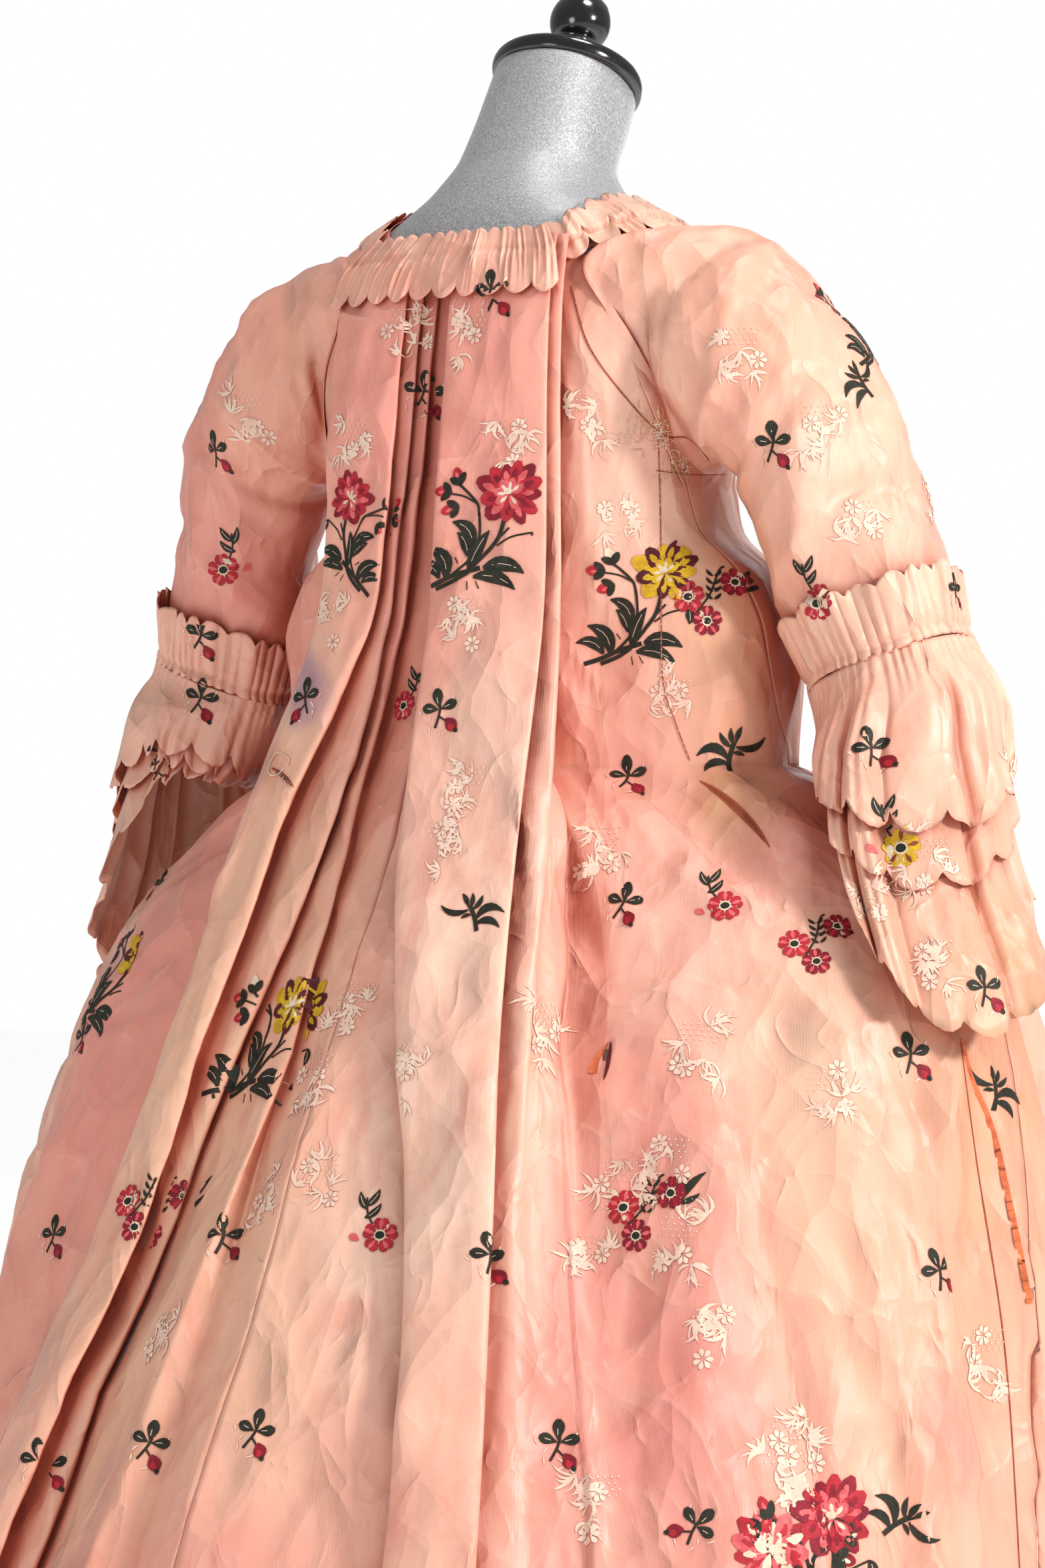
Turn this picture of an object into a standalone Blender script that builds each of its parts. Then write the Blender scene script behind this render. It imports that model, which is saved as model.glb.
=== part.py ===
"""Robe a la francaise standing on a limbless dress form.

Metres, +Z up.  The origin is the centre of the stand's base on the floor.  The gown faces
-Y, so the wearer's right is -X (side -1) and the wearer's left is +X (side +1).

The body and the skirt are horizontal rings.  A place on a ring is an angle in degrees
from the centre back (0) round either side to the centre front (180).  The back is one
folded line of cloth at each height: pleat layers, then the fitted side back or the skirt.
"""
import math

import bmesh
import bpy
import numpy as np

# ---- driving dimensions ---------------------------------------------------------------
WALL = 0.0014              # silk with its lining, as one wall
SEAM = 0.00025             # half the gap at a seam between two pieces
ON_FORM = 0.0024           # middle of the cloth over the form's surface
WAIST = 1.000              # height of the waist seam
SQUARENESS = 2.2           # 2 is an ellipse, more is squarer

BASE_RADIUS, BASE_HEIGHT = 0.200, 0.030
POLE_RADIUS = 0.016
FORM_BOTTOM, FORM_TOP = 0.780, 1.505
NECK_TILT = math.radians(22)
CAP_RADIUS = 0.057
FIT = 0.0003               # gap where two pieces of the form meet

SIDES = {"left": 1, "right": -1}

# height, half width, front depth, back depth, centre forward (-y)
TORSO = (
    (0.78, 0.150, 0.105, 0.105, 0.000),
    (0.86, 0.152, 0.105, 0.112, 0.000),
    (0.93, 0.138, 0.100, 0.102, 0.000),
    (1.00, 0.118, 0.092, 0.088, 0.000),
    (1.06, 0.122, 0.098, 0.088, 0.000),
    (1.12, 0.134, 0.115, 0.092, 0.000),
    (1.18, 0.146, 0.135, 0.097, 0.000),
    (1.24, 0.155, 0.118, 0.102, 0.000),
    (1.29, 0.166, 0.095, 0.100, 0.000),
    (1.345, 0.164, 0.075, 0.091, 0.000),
    (1.38, 0.128, 0.062, 0.081, 0.000),
    (1.40, 0.095, 0.056, 0.074, 0.002),
    (1.42, 0.070, 0.052, 0.066, 0.008),
    (1.44, 0.058, 0.050, 0.056, 0.018),
    (1.475, 0.053, 0.050, 0.051, 0.038),
    (1.505, 0.051, 0.050, 0.050, 0.054),
)

# height, half width, front depth, back depth of the skirt at its plain surface, squareness
SKIRT = (
    (1.000, 0.1204, 0.0944, 0.0904, 2.20),
    (0.972, 0.205, 0.112, 0.106, 2.00),
    (0.940, 0.278, 0.148, 0.122, 1.90),
    (0.900, 0.340, 0.200, 0.148, 1.88),
    (0.840, 0.382, 0.250, 0.188, 1.92),
    (0.760, 0.398, 0.290, 0.238, 2.00),
    (0.640, 0.408, 0.335, 0.304, 2.10),
    (0.450, 0.430, 0.385, 0.388, 2.20),
    (0.230, 0.462, 0.430, 0.480, 2.20),
    (0.012, 0.495, 0.470, 0.570, 2.20),
)

# height, half width and depth of the outer face that the back pleats hang in
PLEAT_FACE = (
    (1.372, 0.165, 0.1050),
    (1.335, 0.185, 0.1155),
    (1.285, 0.200, 0.1240),
    (1.243, 0.205, 0.1295),
    (1.130, 0.205, 0.1430),
    (0.970, 0.240, 0.185),
    (0.830, 0.345, 0.236),
    (0.700, 0.390, 0.290),
    (0.450, 0.440, 0.420),
    (0.012, 0.520, 0.620),
)

# height, how far the gown's side hangs out of the fitted shape
HANGING = ((1.203, 0.000), (1.170, 0.005), (1.135, 0.046), (1.090, 0.072), (1.040, 0.080),
           (1.000, 0.082), (0.972, 0.052), (0.940, 0.016), (0.915, 0.000))

# height, edge angle of the back piece: neck, shoulder, armhole, side-back seam, side seam
BACK_EDGE = (
    (1.372, 33.0), (1.335, 40.0), (1.285, 54.0), (1.243, 71.0), (1.170, 82.0), (1.090, 87.0),
    (1.030, 94.0), (1.000, 99.0), (0.945, 94.0), (0.840, 87.0), (0.700, 86.0), (0.012, 86.0),
)
# height, front edge angle of the bodice front, and its armhole edge above the underarm
BODICE_OPENING = ((1.345, 147.0), (1.285, 149.0), (1.20, 153.0), (1.09, 158.0), (1.00, 163.0))
ARMHOLE_FRONT = ((1.190, 75.0), (1.203, 83.0), (1.215, 94.0), (1.230, 105.0), (1.243, 112.0),
                 (1.285, 123.0), (1.345, 129.0))
# height, front edge angle of the skirt
SKIRT_OPENING = ((1.000, 158.0), (0.972, 148.0), (0.940, 140.0), (0.90, 133.0), (0.840, 127.0),
                 (0.760, 124.0), (0.450, 124.0), (0.012, 126.0))

# Heights at which the pleat columns below are given.
PLEAT_HEIGHTS = (1.372, 1.130, 0.970, 0.830, 0.700, 0.450, 0.012)
# Half the space between two layers at a fold, and the length that a fold rounds over.
FOLD_GAP = (0.0013, 0.0030, 0.0046, 0.0042, 0.0042, 0.0060, 0.0080)
FOLD_ROUND = (0.0018, 0.0035, 0.0060, 0.0070, 0.0080, 0.0110, 0.0140)

# The centre back seam: how far to the wearer's left, and how deep under the face.
SEAM_PLACE = (-0.003, 0.000, 0.005, 0.010, 0.010, 0.010, 0.010)
SEAM_DEPTH = (0.0156, 0.030, 0.034, 0.016, 0.004, 0.000, 0.000)

# One row per fold, from the centre out: name, +1 where the cloth turns under and -1 where
# it comes up, places from the centre line, depths under the pleat face.
PLEATS = {
    "right": (
        ("inner_tuck", -1, (0.034, 0.040, 0.048, 0.072, 0.108, 0.168, 0.212),
         (0.0039, 0.009, 0.0138, 0.016, 0.020, 0.028, 0.034)),
        ("inner_edge", -1, (0.010, 0.011, 0.015, 0.043, 0.085, 0.142, 0.182),
         (0.0013, 0.003, 0.0046, 0.0042, 0.006, 0.008, 0.010)),
        ("outer_edge", 1, (0.086, 0.099, 0.106, 0.125, 0.150, 0.205, 0.252),
         (0.0013, 0.003, 0.0046, 0.0042, 0.006, 0.008, 0.010)),
        ("outer_tuck", 1, (0.058, 0.066, 0.070, 0.098, 0.132, 0.186, 0.230),
         (0.0039, 0.009, 0.0138, 0.013, 0.018, 0.022, 0.028)),
        ("second_edge", 1, (0.093, 0.107, 0.122, 0.139, 0.158, 0.224, 0.276),
         (0.0065, 0.015, 0.0230, 0.021, 0.024, 0.034, 0.042)),
    ),
    "left": (
        ("third_tuck", -1, (0.030, 0.040, 0.055, 0.055, 0.056, 0.062, 0.070),
         (0.0143, 0.027, 0.033, 0.027, 0.022, 0.020, 0.020)),
        ("third_edge", -1, (0.006, 0.018, 0.043, 0.045, 0.062, 0.090, 0.105),
         (0.0117, 0.021, 0.027, 0.020, 0.008, 0.002, 0.000)),
        ("second_tuck", -1, (0.040, 0.050, 0.076, 0.112, 0.146, 0.192, 0.230),
         (0.0091, 0.0165, 0.0225, 0.031, 0.036, 0.042, 0.056)),
        ("second_edge", -1, (0.015, 0.027, 0.050, 0.090, 0.124, 0.168, 0.200),
         (0.0065, 0.0125, 0.0170, 0.0220, 0.026, 0.030, 0.040)),
        ("inner_tuck", -1, (0.048, 0.056, 0.108, 0.138, 0.158, 0.208, 0.248),
         (0.0039, 0.0080, 0.0115, 0.0135, 0.016, 0.018, 0.024)),
        ("inner_edge", -1, (0.026, 0.034, 0.088, 0.117, 0.134, 0.182, 0.220),
         (0.0013, 0.0030, 0.0046, 0.0050, 0.006, 0.006, 0.008)),
        ("outer_edge", 1, (0.096, 0.092, 0.140, 0.160, 0.182, 0.236, 0.282),
         (0.0013, 0.0030, 0.0046, 0.0042, 0.006, 0.006, 0.008)),
        ("outer_tuck", 1, (0.070, 0.068, 0.120, 0.144, 0.168, 0.218, 0.262),
         (0.0039, 0.009, 0.0138, 0.013, 0.018, 0.018, 0.024)),
        ("side_edge", 1, (0.101, 0.104, 0.146, 0.170, 0.190, 0.250, 0.300),
         (0.0065, 0.015, 0.0230, 0.021, 0.024, 0.030, 0.040)),
    ),
}
# height, ring angle where the last tuck of the pleats meets the body or the skirt
LAST_TUCK = {
    "right": ((1.372, 20.0), (1.130, 25.0), (1.000, 30.0), (0.970, 28.0), (0.900, 22.0),
              (0.830, 22.0), (0.700, 27.0), (0.450, 37.0), (0.012, 42.0)),
    "left": ((1.372, 22.0), (1.130, 26.0), (1.000, 38.0), (0.970, 40.0), (0.900, 30.0),
             (0.830, 28.0), (0.700, 33.0), (0.450, 43.0), (0.012, 46.0)),
}
# height, depth of the valley in the skirt beside the last tuck
SIDE_VALLEY = ((1.000, 0.000), (0.960, 0.000), (0.900, 0.024), (0.830, 0.034), (0.700, 0.036),
               (0.450, 0.016), (0.012, 0.010))
SIDE_VALLEY_WIDTH = 9.0

# Skirt folds: angle at the waist, angle at the hem, width in degrees, height at the hem
# (negative for a valley), height that it starts at.
SKIRT_FOLDS = {
    "right": (
        (36, 47, 5.0, 0.012, 0.96), (44, 53, 4.0, -0.014, 0.93), (52, 59, 5.0, 0.012, 0.94),
        (60, 66, 3.5, -0.010, 0.90), (70, 73, 5.0, 0.010, 0.96), (80, 80, 4.0, -0.012, 0.96),
        (91, 91, 4.5, 0.012, 0.98), (101, 100, 4.0, -0.032, 0.97), (112, 111, 5.5, 0.020, 0.97),
        (121, 119, 3.5, -0.008, 0.93),
    ),
    "left": (
        (46, 46, 4.0, -0.010, 0.94), (53, 53, 5.0, 0.012, 0.95), (62, 61, 4.0, -0.014, 0.93),
        (71, 69, 5.0, 0.012, 0.95), (80, 78, 4.0, -0.010, 0.96), (93, 93, 4.5, 0.012, 0.98),
        (102, 101, 4.0, -0.026, 0.97), (113, 112, 5.5, 0.020, 0.97),
        (122, 119, 3.5, -0.008, 0.93),
    ),
}

BACK_ROWS = (1.372, 1.330, 1.285, 1.264, 1.243, 1.170, 1.135, 1.090, 1.000, 0.972, 0.940,
             0.915, 0.885, 0.840, 0.770, 0.700, 0.600, 0.450, 0.230, 0.012)
SKIRT_ROWS = tuple(z for z in BACK_ROWS if z <= WAIST)
BODICE_ROWS = (1.345, 1.310, 1.275, 1.243, 1.230, 1.215, 1.203, 1.170, 1.135, 1.090, 1.000)

# A slit worn through the skirt: ring angle, height, width and length.
TEAR_ANGLE, TEAR_HEIGHT, TEAR_WIDTH, TEAR_LENGTH = 35.5, 0.800, 0.005, 0.022

# Sleeve rings: outer point (x, z), inner point (x, z), half depth, centre back (+y).
SLEEVE = (
    (0.204, 1.366, 0.168, 1.212, 0.072, 0.008),
    (0.244, 1.334, 0.180, 1.208, 0.069, 0.010),
    (0.276, 1.288, 0.193, 1.186, 0.065, 0.006),
    (0.300, 1.230, 0.206, 1.148, 0.062, -0.002),
    (0.320, 1.168, 0.216, 1.106, 0.059, -0.012),
    (0.341, 1.089, 0.234, 1.049, 0.056, -0.022),
)
# The armhole: ring angle and height, from the back corner over the shoulder to the front,
# under the arm and up the back again.
ARMHOLE = ((36, 1.350), (62, 1.371), (88, 1.375), (112, 1.368), (128, 1.346), (127, 1.305),
           (120, 1.258), (106, 1.222), (91, 1.204), (77, 1.218), (63, 1.258), (48, 1.300))
SLEEVE_POINTS = 18

# Sleeve flounces: name, length at the elbow and at the bend of the arm opposite, distance
# out of the lowest flounce at the top and lower down, and rows of points.
FLOUNCE_START = 0.0004
FLOUNCES = (
    ("upper", 0.122, 0.046, 0.0036, 0.0150, 3),
    ("middle", 0.160, 0.054, 0.0018, 0.0056, 4),
    ("lower", 0.255, 0.058, 0.0000, 0.0000, 5),
)
FLOUNCE_SCALLOPS = 16
FLOUNCE_WAVES = 8
FLOUNCE_FLARE = 0.026
FLOUNCE_FALL = 2.2         # how quickly a flounce grows from its short side to its long one
FLOUNCE_REST = 0.008       # the lowest flounce over the skirt
SOFTNESS = 0.055           # over how much cloth the skirt turns a flounce aside
# radians from the back of the sleeve over its outer side to its elbow side
ELBOW_TURN = {"right": 0.80, "left": 1.90}

SILK = (0.84, 0.42, 0.33)
SILK_PALE = (0.88, 0.60, 0.44)
FORM_CLOTH = (0.48, 0.48, 0.50)
BLACK_LACQUER = (0.012, 0.011, 0.010)


# ---- small tools ----------------------------------------------------------------------
def curve(points):
    """A smooth curve through (place, value) pairs that never overshoots them."""
    pairs = sorted(points)
    place = np.array([p[0] for p in pairs], float)
    value = np.array([p[1] for p in pairs], float)
    step = np.diff(place)
    slope = np.diff(value) / step
    lean = np.zeros_like(value)
    lean[0], lean[-1] = slope[0], slope[-1]
    for i in range(1, len(place) - 1):
        if slope[i - 1] * slope[i] > 0:
            ahead, behind = 2 * step[i] + step[i - 1], step[i] + 2 * step[i - 1]
            lean[i] = (ahead + behind) / (ahead / slope[i - 1] + behind / slope[i])

    def at(where):
        where = min(max(where, place[0]), place[-1])
        i = min(max(int(np.searchsorted(place, where)) - 1, 0), len(step) - 1)
        t = (where - place[i]) / step[i]
        rise = value[i] * (1 + 2 * t) * (1 - t) ** 2 + value[i + 1] * t * t * (3 - 2 * t)
        return rise + step[i] * t * (1 - t) * (lean[i] * (1 - t) - lean[i + 1] * t)

    return at


def columns(table):
    """One curve for each value column of a table whose first column is the height."""
    return [curve([(row[0], row[i]) for row in table]) for i in range(1, len(table[0]))]


def clamp01(t):
    return min(max(t, 0.0), 1.0)


def ease(t):
    t = clamp01(t)
    return t * t * (3 - 2 * t)


def lerp(a, b, t):
    return a + (b - a) * t


TORSO_CURVES = columns(TORSO)
SKIRT_CURVES = columns(SKIRT)
FACE_CURVES = columns(PLEAT_FACE)
back_edge = curve(BACK_EDGE)
bodice_opening = curve(BODICE_OPENING)
armhole_front = curve(ARMHOLE_FRONT)
skirt_opening = curve(SKIRT_OPENING)
fold_gap = curve(zip(PLEAT_HEIGHTS, FOLD_GAP))
fold_round = curve(zip(PLEAT_HEIGHTS, FOLD_ROUND))
seam_place = curve(zip(PLEAT_HEIGHTS, SEAM_PLACE))
seam_depth = curve(zip(PLEAT_HEIGHTS, SEAM_DEPTH))
side_valley = curve(SIDE_VALLEY)
hanging_side = curve(HANGING)
last_tuck = {name: curve(rows) for name, rows in LAST_TUCK.items()}
pleat_folds = {
    name: [(turn, curve(zip(PLEAT_HEIGHTS, place)), curve(zip(PLEAT_HEIGHTS, depth)))
           for _, turn, place, depth in rows]
    for name, rows in PLEATS.items()
}


def material(name, colour, roughness, metallic=0.0):
    made = bpy.data.materials.new(name)
    made.use_nodes = True
    shader = made.node_tree.nodes["Principled BSDF"]
    shader.inputs["Base Color"].default_value = (*colour, 1.0)
    shader.inputs["Roughness"].default_value = roughness
    shader.inputs["Metallic"].default_value = metallic
    made.diffuse_color = (*colour, 1.0)
    return made


def add_object(name, points, faces, look):
    """A smooth-shaded object whose faces are turned outwards."""
    mesh = bpy.data.meshes.new(name)
    mesh.from_pydata([tuple(p) for p in points], [], faces)
    shape = bmesh.new()
    shape.from_mesh(mesh)
    bmesh.ops.recalc_face_normals(shape, faces=shape.faces)
    shape.to_mesh(mesh)
    shape.free()
    mesh.shade_smooth()
    made = bpy.data.objects.new(name, mesh)
    made.data.materials.append(look)
    bpy.context.collection.objects.link(made)
    return made


def grid_normals(grid, wrap):
    """Unit normals of a grid of points, rows by columns."""
    down = np.gradient(grid, axis=0)
    if wrap:
        across = np.roll(grid, -1, axis=1) - np.roll(grid, 1, axis=1)
    else:
        across = np.gradient(grid, axis=1)
    normal = np.cross(across, down)
    return normal / np.linalg.norm(normal, axis=2, keepdims=True)


def sheet(name, grid, look, wrap=False, wall=WALL):
    """A wall of cloth round a grid of points that runs through its middle."""
    grid = np.array(grid, float)
    rows, cols = grid.shape[:2]
    normal = grid_normals(grid, wrap) * (wall / 2)
    points = np.concatenate([(grid + normal).reshape(-1, 3), (grid - normal).reshape(-1, 3)])
    far = rows * cols
    around = cols if wrap else cols - 1
    faces = []
    for r in range(rows - 1):
        for c in range(around):
            a, b = r * cols + c, r * cols + (c + 1) % cols
            d, e = a + cols, b + cols
            faces += [(a, b, e), (a, e, d)]
            faces += [(far + a, far + e, far + b), (far + a, far + d, far + e)]
    for c in range(around):
        n = (c + 1) % cols
        last = (rows - 1) * cols
        faces += [(c, far + c, far + n, n), (last + c, last + n, far + last + n, far + last + c)]
    if not wrap:
        for r in range(rows - 1):
            a, b = r * cols, (r + 1) * cols
            faces += [(a, b, far + b, far + a)]
            a, b = a + cols - 1, b + cols - 1
            faces += [(a, far + a, far + b, b)]
    return add_object(name, points, faces, look)


# ---- the form's and the gown's surfaces -----------------------------------------------
def ring_point(half_width, depth, angle, side, squareness=SQUARENESS):
    """A point of a squarish ring, and the ring's outward direction there."""
    s, c = math.sin(math.radians(angle)), math.cos(math.radians(angle))
    power = 2 / squareness
    x = half_width * abs(s) ** power
    y = depth * abs(c) ** power
    out_x = (x / half_width) ** (squareness - 1) / half_width
    out_y = (y / depth) ** (squareness - 1) / depth
    length = math.hypot(out_x, out_y)
    back = 1 if c >= 0 else -1
    lean = 1 if s >= 0 else -1
    return (np.array([side * lean * x, back * y]),
            np.array([side * lean * out_x / length, back * out_y / length]))


def torso_point(angle, z, side):
    half_width, front, back, forward = (column(z) for column in TORSO_CURVES)
    depth = back if math.cos(math.radians(angle)) >= 0 else front
    flat, _ = ring_point(half_width, depth, angle, side)
    tilt = math.tan(NECK_TILT) * ease((z - 1.41) / (1.49 - 1.41))
    return np.array([flat[0], flat[1] - forward, z + tilt * flat[1]])


def hanging(angle, z):
    """How far the gown hangs out of its fitted shape, most of all at the side."""
    return hanging_side(z) * ease((angle - 50) / 40) * lerp(1.0, 0.35, ease((angle - 115) / 50))


def over_torso(angle, z, side, out):
    """A point at a distance over the torso's surface, square to it."""
    turn, rise = 0.5, 0.001
    across = torso_point(angle + turn, z, side) - torso_point(angle - turn, z, side)
    up = torso_point(angle, z + rise, side) - torso_point(angle, z - rise, side)
    normal = np.cross(up, across) * side
    return torso_point(angle, z, side) + out * normal / np.linalg.norm(normal)


def fold_height(angle, z, name):
    """How far the skirt's soft folds lift the cloth at a place."""
    lift = 0.0
    for waist_angle, hem_angle, width, height, start in SKIRT_FOLDS[name]:
        middle = lerp(waist_angle, hem_angle, ease((WAIST - z) / 0.5))
        grown = ease((start - z) / 0.30)
        lift += height * grown * math.exp(-((angle - middle) / width) ** 2)
    return lift


def side_valley_lift(angle, z, name):
    """The valley of the skirt that the pleats' last tuck lies in."""
    away = (angle - last_tuck[name](z)) / SIDE_VALLEY_WIDTH
    return -side_valley(z) * math.exp(-away * away)


def skirt_point(angle, z, name, out=0.0):
    side = SIDES[name]
    half_width, front, back, squareness = (column(z) for column in SKIRT_CURVES)
    depth = back if math.cos(math.radians(angle)) >= 0 else front
    flat, outward = ring_point(half_width, depth, angle, side, squareness)
    lift = out + fold_height(angle, z, name) + side_valley_lift(angle, z, name)
    lift += hanging(angle, z)
    flat = flat + outward * lift
    return np.array([flat[0], flat[1], z])


def gown_point(angle, z, name, out=0.0):
    """The fitted bodice above the waist and the skirt below it."""
    if z < WAIST:
        return skirt_point(angle, z, name, out)
    half_width, front, back, _ = (column(z) for column in TORSO_CURVES)
    depth = back if math.cos(math.radians(angle)) >= 0 else front
    _, outward = ring_point(half_width, depth, angle, SIDES[name])
    point = over_torso(angle, z, SIDES[name], ON_FORM + out)
    return point + hanging(angle, z) * np.array([outward[0], outward[1], 0.0])


def face_point(place, depth, z, side):
    """A point at a depth under the outer face that the pleats hang in."""
    half_width, face_depth = (column(z) for column in FACE_CURVES)
    share = min(abs(place) / half_width, 0.98)
    y = face_depth * (1 - share ** SQUARENESS) ** (1 / SQUARENESS)
    out_x = share ** (SQUARENESS - 1) / half_width
    out_y = (y / face_depth) ** (SQUARENESS - 1) / face_depth
    length = math.hypot(out_x, out_y)
    lean = 1 if place >= 0 else -1
    return np.array([side * (place - lean * depth * out_x / length),
                     y - depth * out_y / length, z])


# ---- the back -------------------------------------------------------------------------
LAYER_POINTS = {"right": (2, 0, 2, 0, 0), "left": (1, 0, 0, 0, 0, 0, 2, 0, 0)}
SIDE_POINTS = 10


def opened(before, place, after, gap):
    """Half the space in a fold: the gap where the cloth doubles back, 0 where it bends."""
    came, goes = place - before, after - place
    if came * goes >= 0:
        return 0.0
    return gap * clamp01(min(abs(came), abs(goes)) / (1.5 * gap))


def towards(start, end, length):
    """A point on the way from one point to another, at most a third of the way."""
    way = end - start
    return start + way * min(length / np.linalg.norm(way), 0.3)


def back_section(name, z):
    """The folded line of the back at one height, centre seam to side edge."""
    side = SIDES[name]
    rounding = fold_round(z)
    tuck_angle = last_tuck[name](z)
    tuck = gown_point(tuck_angle, z, name)
    folds = [(turn, place(z), depth(z)) for turn, place, depth in pleat_folds[name]]
    places = [side * seam_place(z)] + [fold[1] for fold in folds] + [abs(tuck[0])]

    # Where each fold's two layers would meet its edge, in and out, as (place, depth).
    entering, leaving = [], [np.array([places[0] + SEAM, seam_depth(z)])]
    for i, (turn, place, depth) in enumerate(folds):
        gap = opened(places[i], place, places[i + 2], fold_gap(z))
        entering.append(np.array([place, depth - turn * gap]))
        leaving.append(np.array([place, depth + turn * gap]))
    entering.append(np.array([places[-1], leaving[-1][1] + 0.02]))

    line = [leaving[0]]
    for i, (_, place, depth) in enumerate(folds):
        before, start = line[-1], towards(entering[i], leaving[i], rounding)
        for k in range(LAYER_POINTS[name][i]):
            t = (k + 1) / (LAYER_POINTS[name][i] + 1)
            line.append(np.array([lerp(before[0], start[0], t),
                                  lerp(before[1], start[1], ease(t))]))
        line += [start, np.array([place, depth]),
                 towards(leaving[i + 1], entering[i + 1], rounding)]
    points = [face_point(place, depth, z, side) for place, depth in line]

    gap = opened(places[-2], places[-1], places[-1] + 0.1, fold_gap(z))
    enter = gown_point(tuck_angle, z, name, 2 * gap)
    bend = gown_point(tuck_angle - math.degrees(gap / reach_from_axis(tuck)), z, name, gap)
    points += [lerp(points[-1], enter, 0.5), towards(enter, points[-1], rounding), bend]
    stop = back_edge(z) - math.degrees(SEAM / reach_from_axis(points[-1]))
    first = tuck_angle + math.degrees(min(rounding, 0.006) / reach_from_axis(tuck))
    for k in range(SIDE_POINTS):
        points.append(gown_point(lerp(first, stop, k / (SIDE_POINTS - 1)), z, name))
    return points


def reach_from_axis(point):
    return math.hypot(point[0], point[1])


def make_back(name, look):
    grid = [back_section(name, z) for z in BACK_ROWS]
    return sheet("back_" + name, grid, look)


def cut_tear(back):
    """A worn slit through the skirt beside the pleats."""
    middle = skirt_point(TEAR_ANGLE, TEAR_HEIGHT, "right")
    outer = skirt_point(TEAR_ANGLE, TEAR_HEIGHT, "right", 0.02)
    mesh = bpy.data.meshes.new("tear_cutter")
    shape = bmesh.new()
    bmesh.ops.create_cube(shape, size=1.0)
    bmesh.ops.scale(shape, vec=(TEAR_WIDTH, 0.03, TEAR_LENGTH), verts=shape.verts)
    shape.to_mesh(mesh)
    shape.free()
    cutter = bpy.data.objects.new("tear_cutter", mesh)
    bpy.context.collection.objects.link(cutter)
    cutter.location = middle
    cutter.rotation_euler = (0, 0, math.atan2(outer[1] - middle[1], outer[0] - middle[0])
                             - math.pi / 2)
    cutter.hide_render = True
    cutter.display_type = "WIRE"
    cut = back.modifiers.new("tear", "BOOLEAN")
    cut.operation = "DIFFERENCE"
    cut.object = cutter


# ---- the fronts -----------------------------------------------------------------------
BODICE_FRONT_POINTS = 10
SKIRT_FRONT_POINTS = 13


def edge_step(angle, z, name):
    """Half a seam's gap as a ring angle."""
    return math.degrees(SEAM / reach_from_axis(gown_point(angle, z, name)))


def make_bodice_front(name, look):
    grid = []
    for z in BODICE_ROWS:
        start = max(back_edge(z), armhole_front(z))
        start += edge_step(start, z, name)
        lift = 2 * SEAM if z == WAIST else 0.0
        grid.append([gown_point(lerp(start, bodice_opening(z), k / (BODICE_FRONT_POINTS - 1)),
                                z + lift, name) for k in range(BODICE_FRONT_POINTS)])
    return sheet("bodice_front_" + name, grid, look)


def skirt_front_grid(name):
    grid = []
    for z in SKIRT_ROWS:
        start = back_edge(z) + edge_step(back_edge(z), z, name)
        grid.append([skirt_point(lerp(start, skirt_opening(z), k / (SKIRT_FRONT_POINTS - 1)),
                                 z - (2 * SEAM if z == WAIST else 0.0), name)
                     for k in range(SKIRT_FRONT_POINTS)])
    return np.array(grid)


def make_skirt_front(name, look):
    return sheet("skirt_front_" + name, skirt_front_grid(name), look)


def over_grid(grid, normal, row, col, out):
    """A point over a grid, at a fractional row and column."""
    r, c = min(int(row), len(grid) - 2), min(int(col), len(grid[0]) - 2)
    u, v = col - c, row - r

    def blend(field):
        near = lerp(field[r, c], field[r, c + 1], u)
        return lerp(near, lerp(field[r + 1, c], field[r + 1, c + 1], u), v)

    return blend(grid) + out * blend(normal)


def make_robing(name, look):
    """A folded strip on the bodice front, beside the opening."""
    width, over = 0.030, 2 * WALL
    grid = []
    for z in BODICE_ROWS:
        edge = bodice_opening(z)
        turn = math.degrees(width / reach_from_axis(gown_point(edge, z, name)))
        lift = 2 * SEAM if z == WAIST else 0.0
        grid.append([gown_point(edge - turn * k / 2, z + lift, name, over - 0.0009)
                     for k in range(3)])
    return sheet("robing_" + name, grid, look)


def make_front_ruche(name, look):
    """Pinked trimming on the skirt front, beside the opening."""
    width, over, scallops, scallop = 0.046, 0.0034, 16, 0.005
    grid = skirt_front_grid(name)
    normal = grid_normals(grid, False) * -SIDES[name]
    rows = []
    for k in range(2 * scallops + 1):
        row = lerp(0.25, len(grid) - 1.1, k / (2 * scallops))
        column = np.linalg.norm(over_grid(grid, normal, row, SKIRT_FRONT_POINTS - 1, 0)
                                - over_grid(grid, normal, row, SKIRT_FRONT_POINTS - 2, 0))
        cut = scallop * (k % 2)
        places = (width - cut, width / 2, cut + 0.002)
        rows.append([over_grid(grid, normal, row, SKIRT_FRONT_POINTS - 1 - place / column,
                               over + 0.001 * (place == width / 2)) for place in places])
    return sheet("front_ruche_" + name, rows, look)


# ---- neck and shoulders ---------------------------------------------------------------
STRAP_START, STRAP_END = 35.5, 128.0
STRAP_ON_FORM = 0.0017


def strap_grid(name, inner, outer, out, count, wave=0.0):
    """Points along a shoulder strap, from its neck edge to its armhole edge."""
    grid = []
    for k in range(count + 1):
        angle = lerp(STRAP_START, STRAP_END, k / count)
        crest = math.sin(math.radians((angle - 20.0) * 180.0 / 126.0))
        neck = 1.372 + 0.032 * crest + inner + wave * (k % 2)
        arm = 1.352 + 0.024 * crest + outer - wave * (k % 2)
        grid.append([over_torso(angle, lerp(neck, arm, c / 2), SIDES[name], out)
                     for c in range(3)])
    return grid


def make_strap(name, look):
    return sheet("shoulder_strap_" + name, strap_grid(name, 0.0, 0.0, STRAP_ON_FORM, 12), look)


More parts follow.
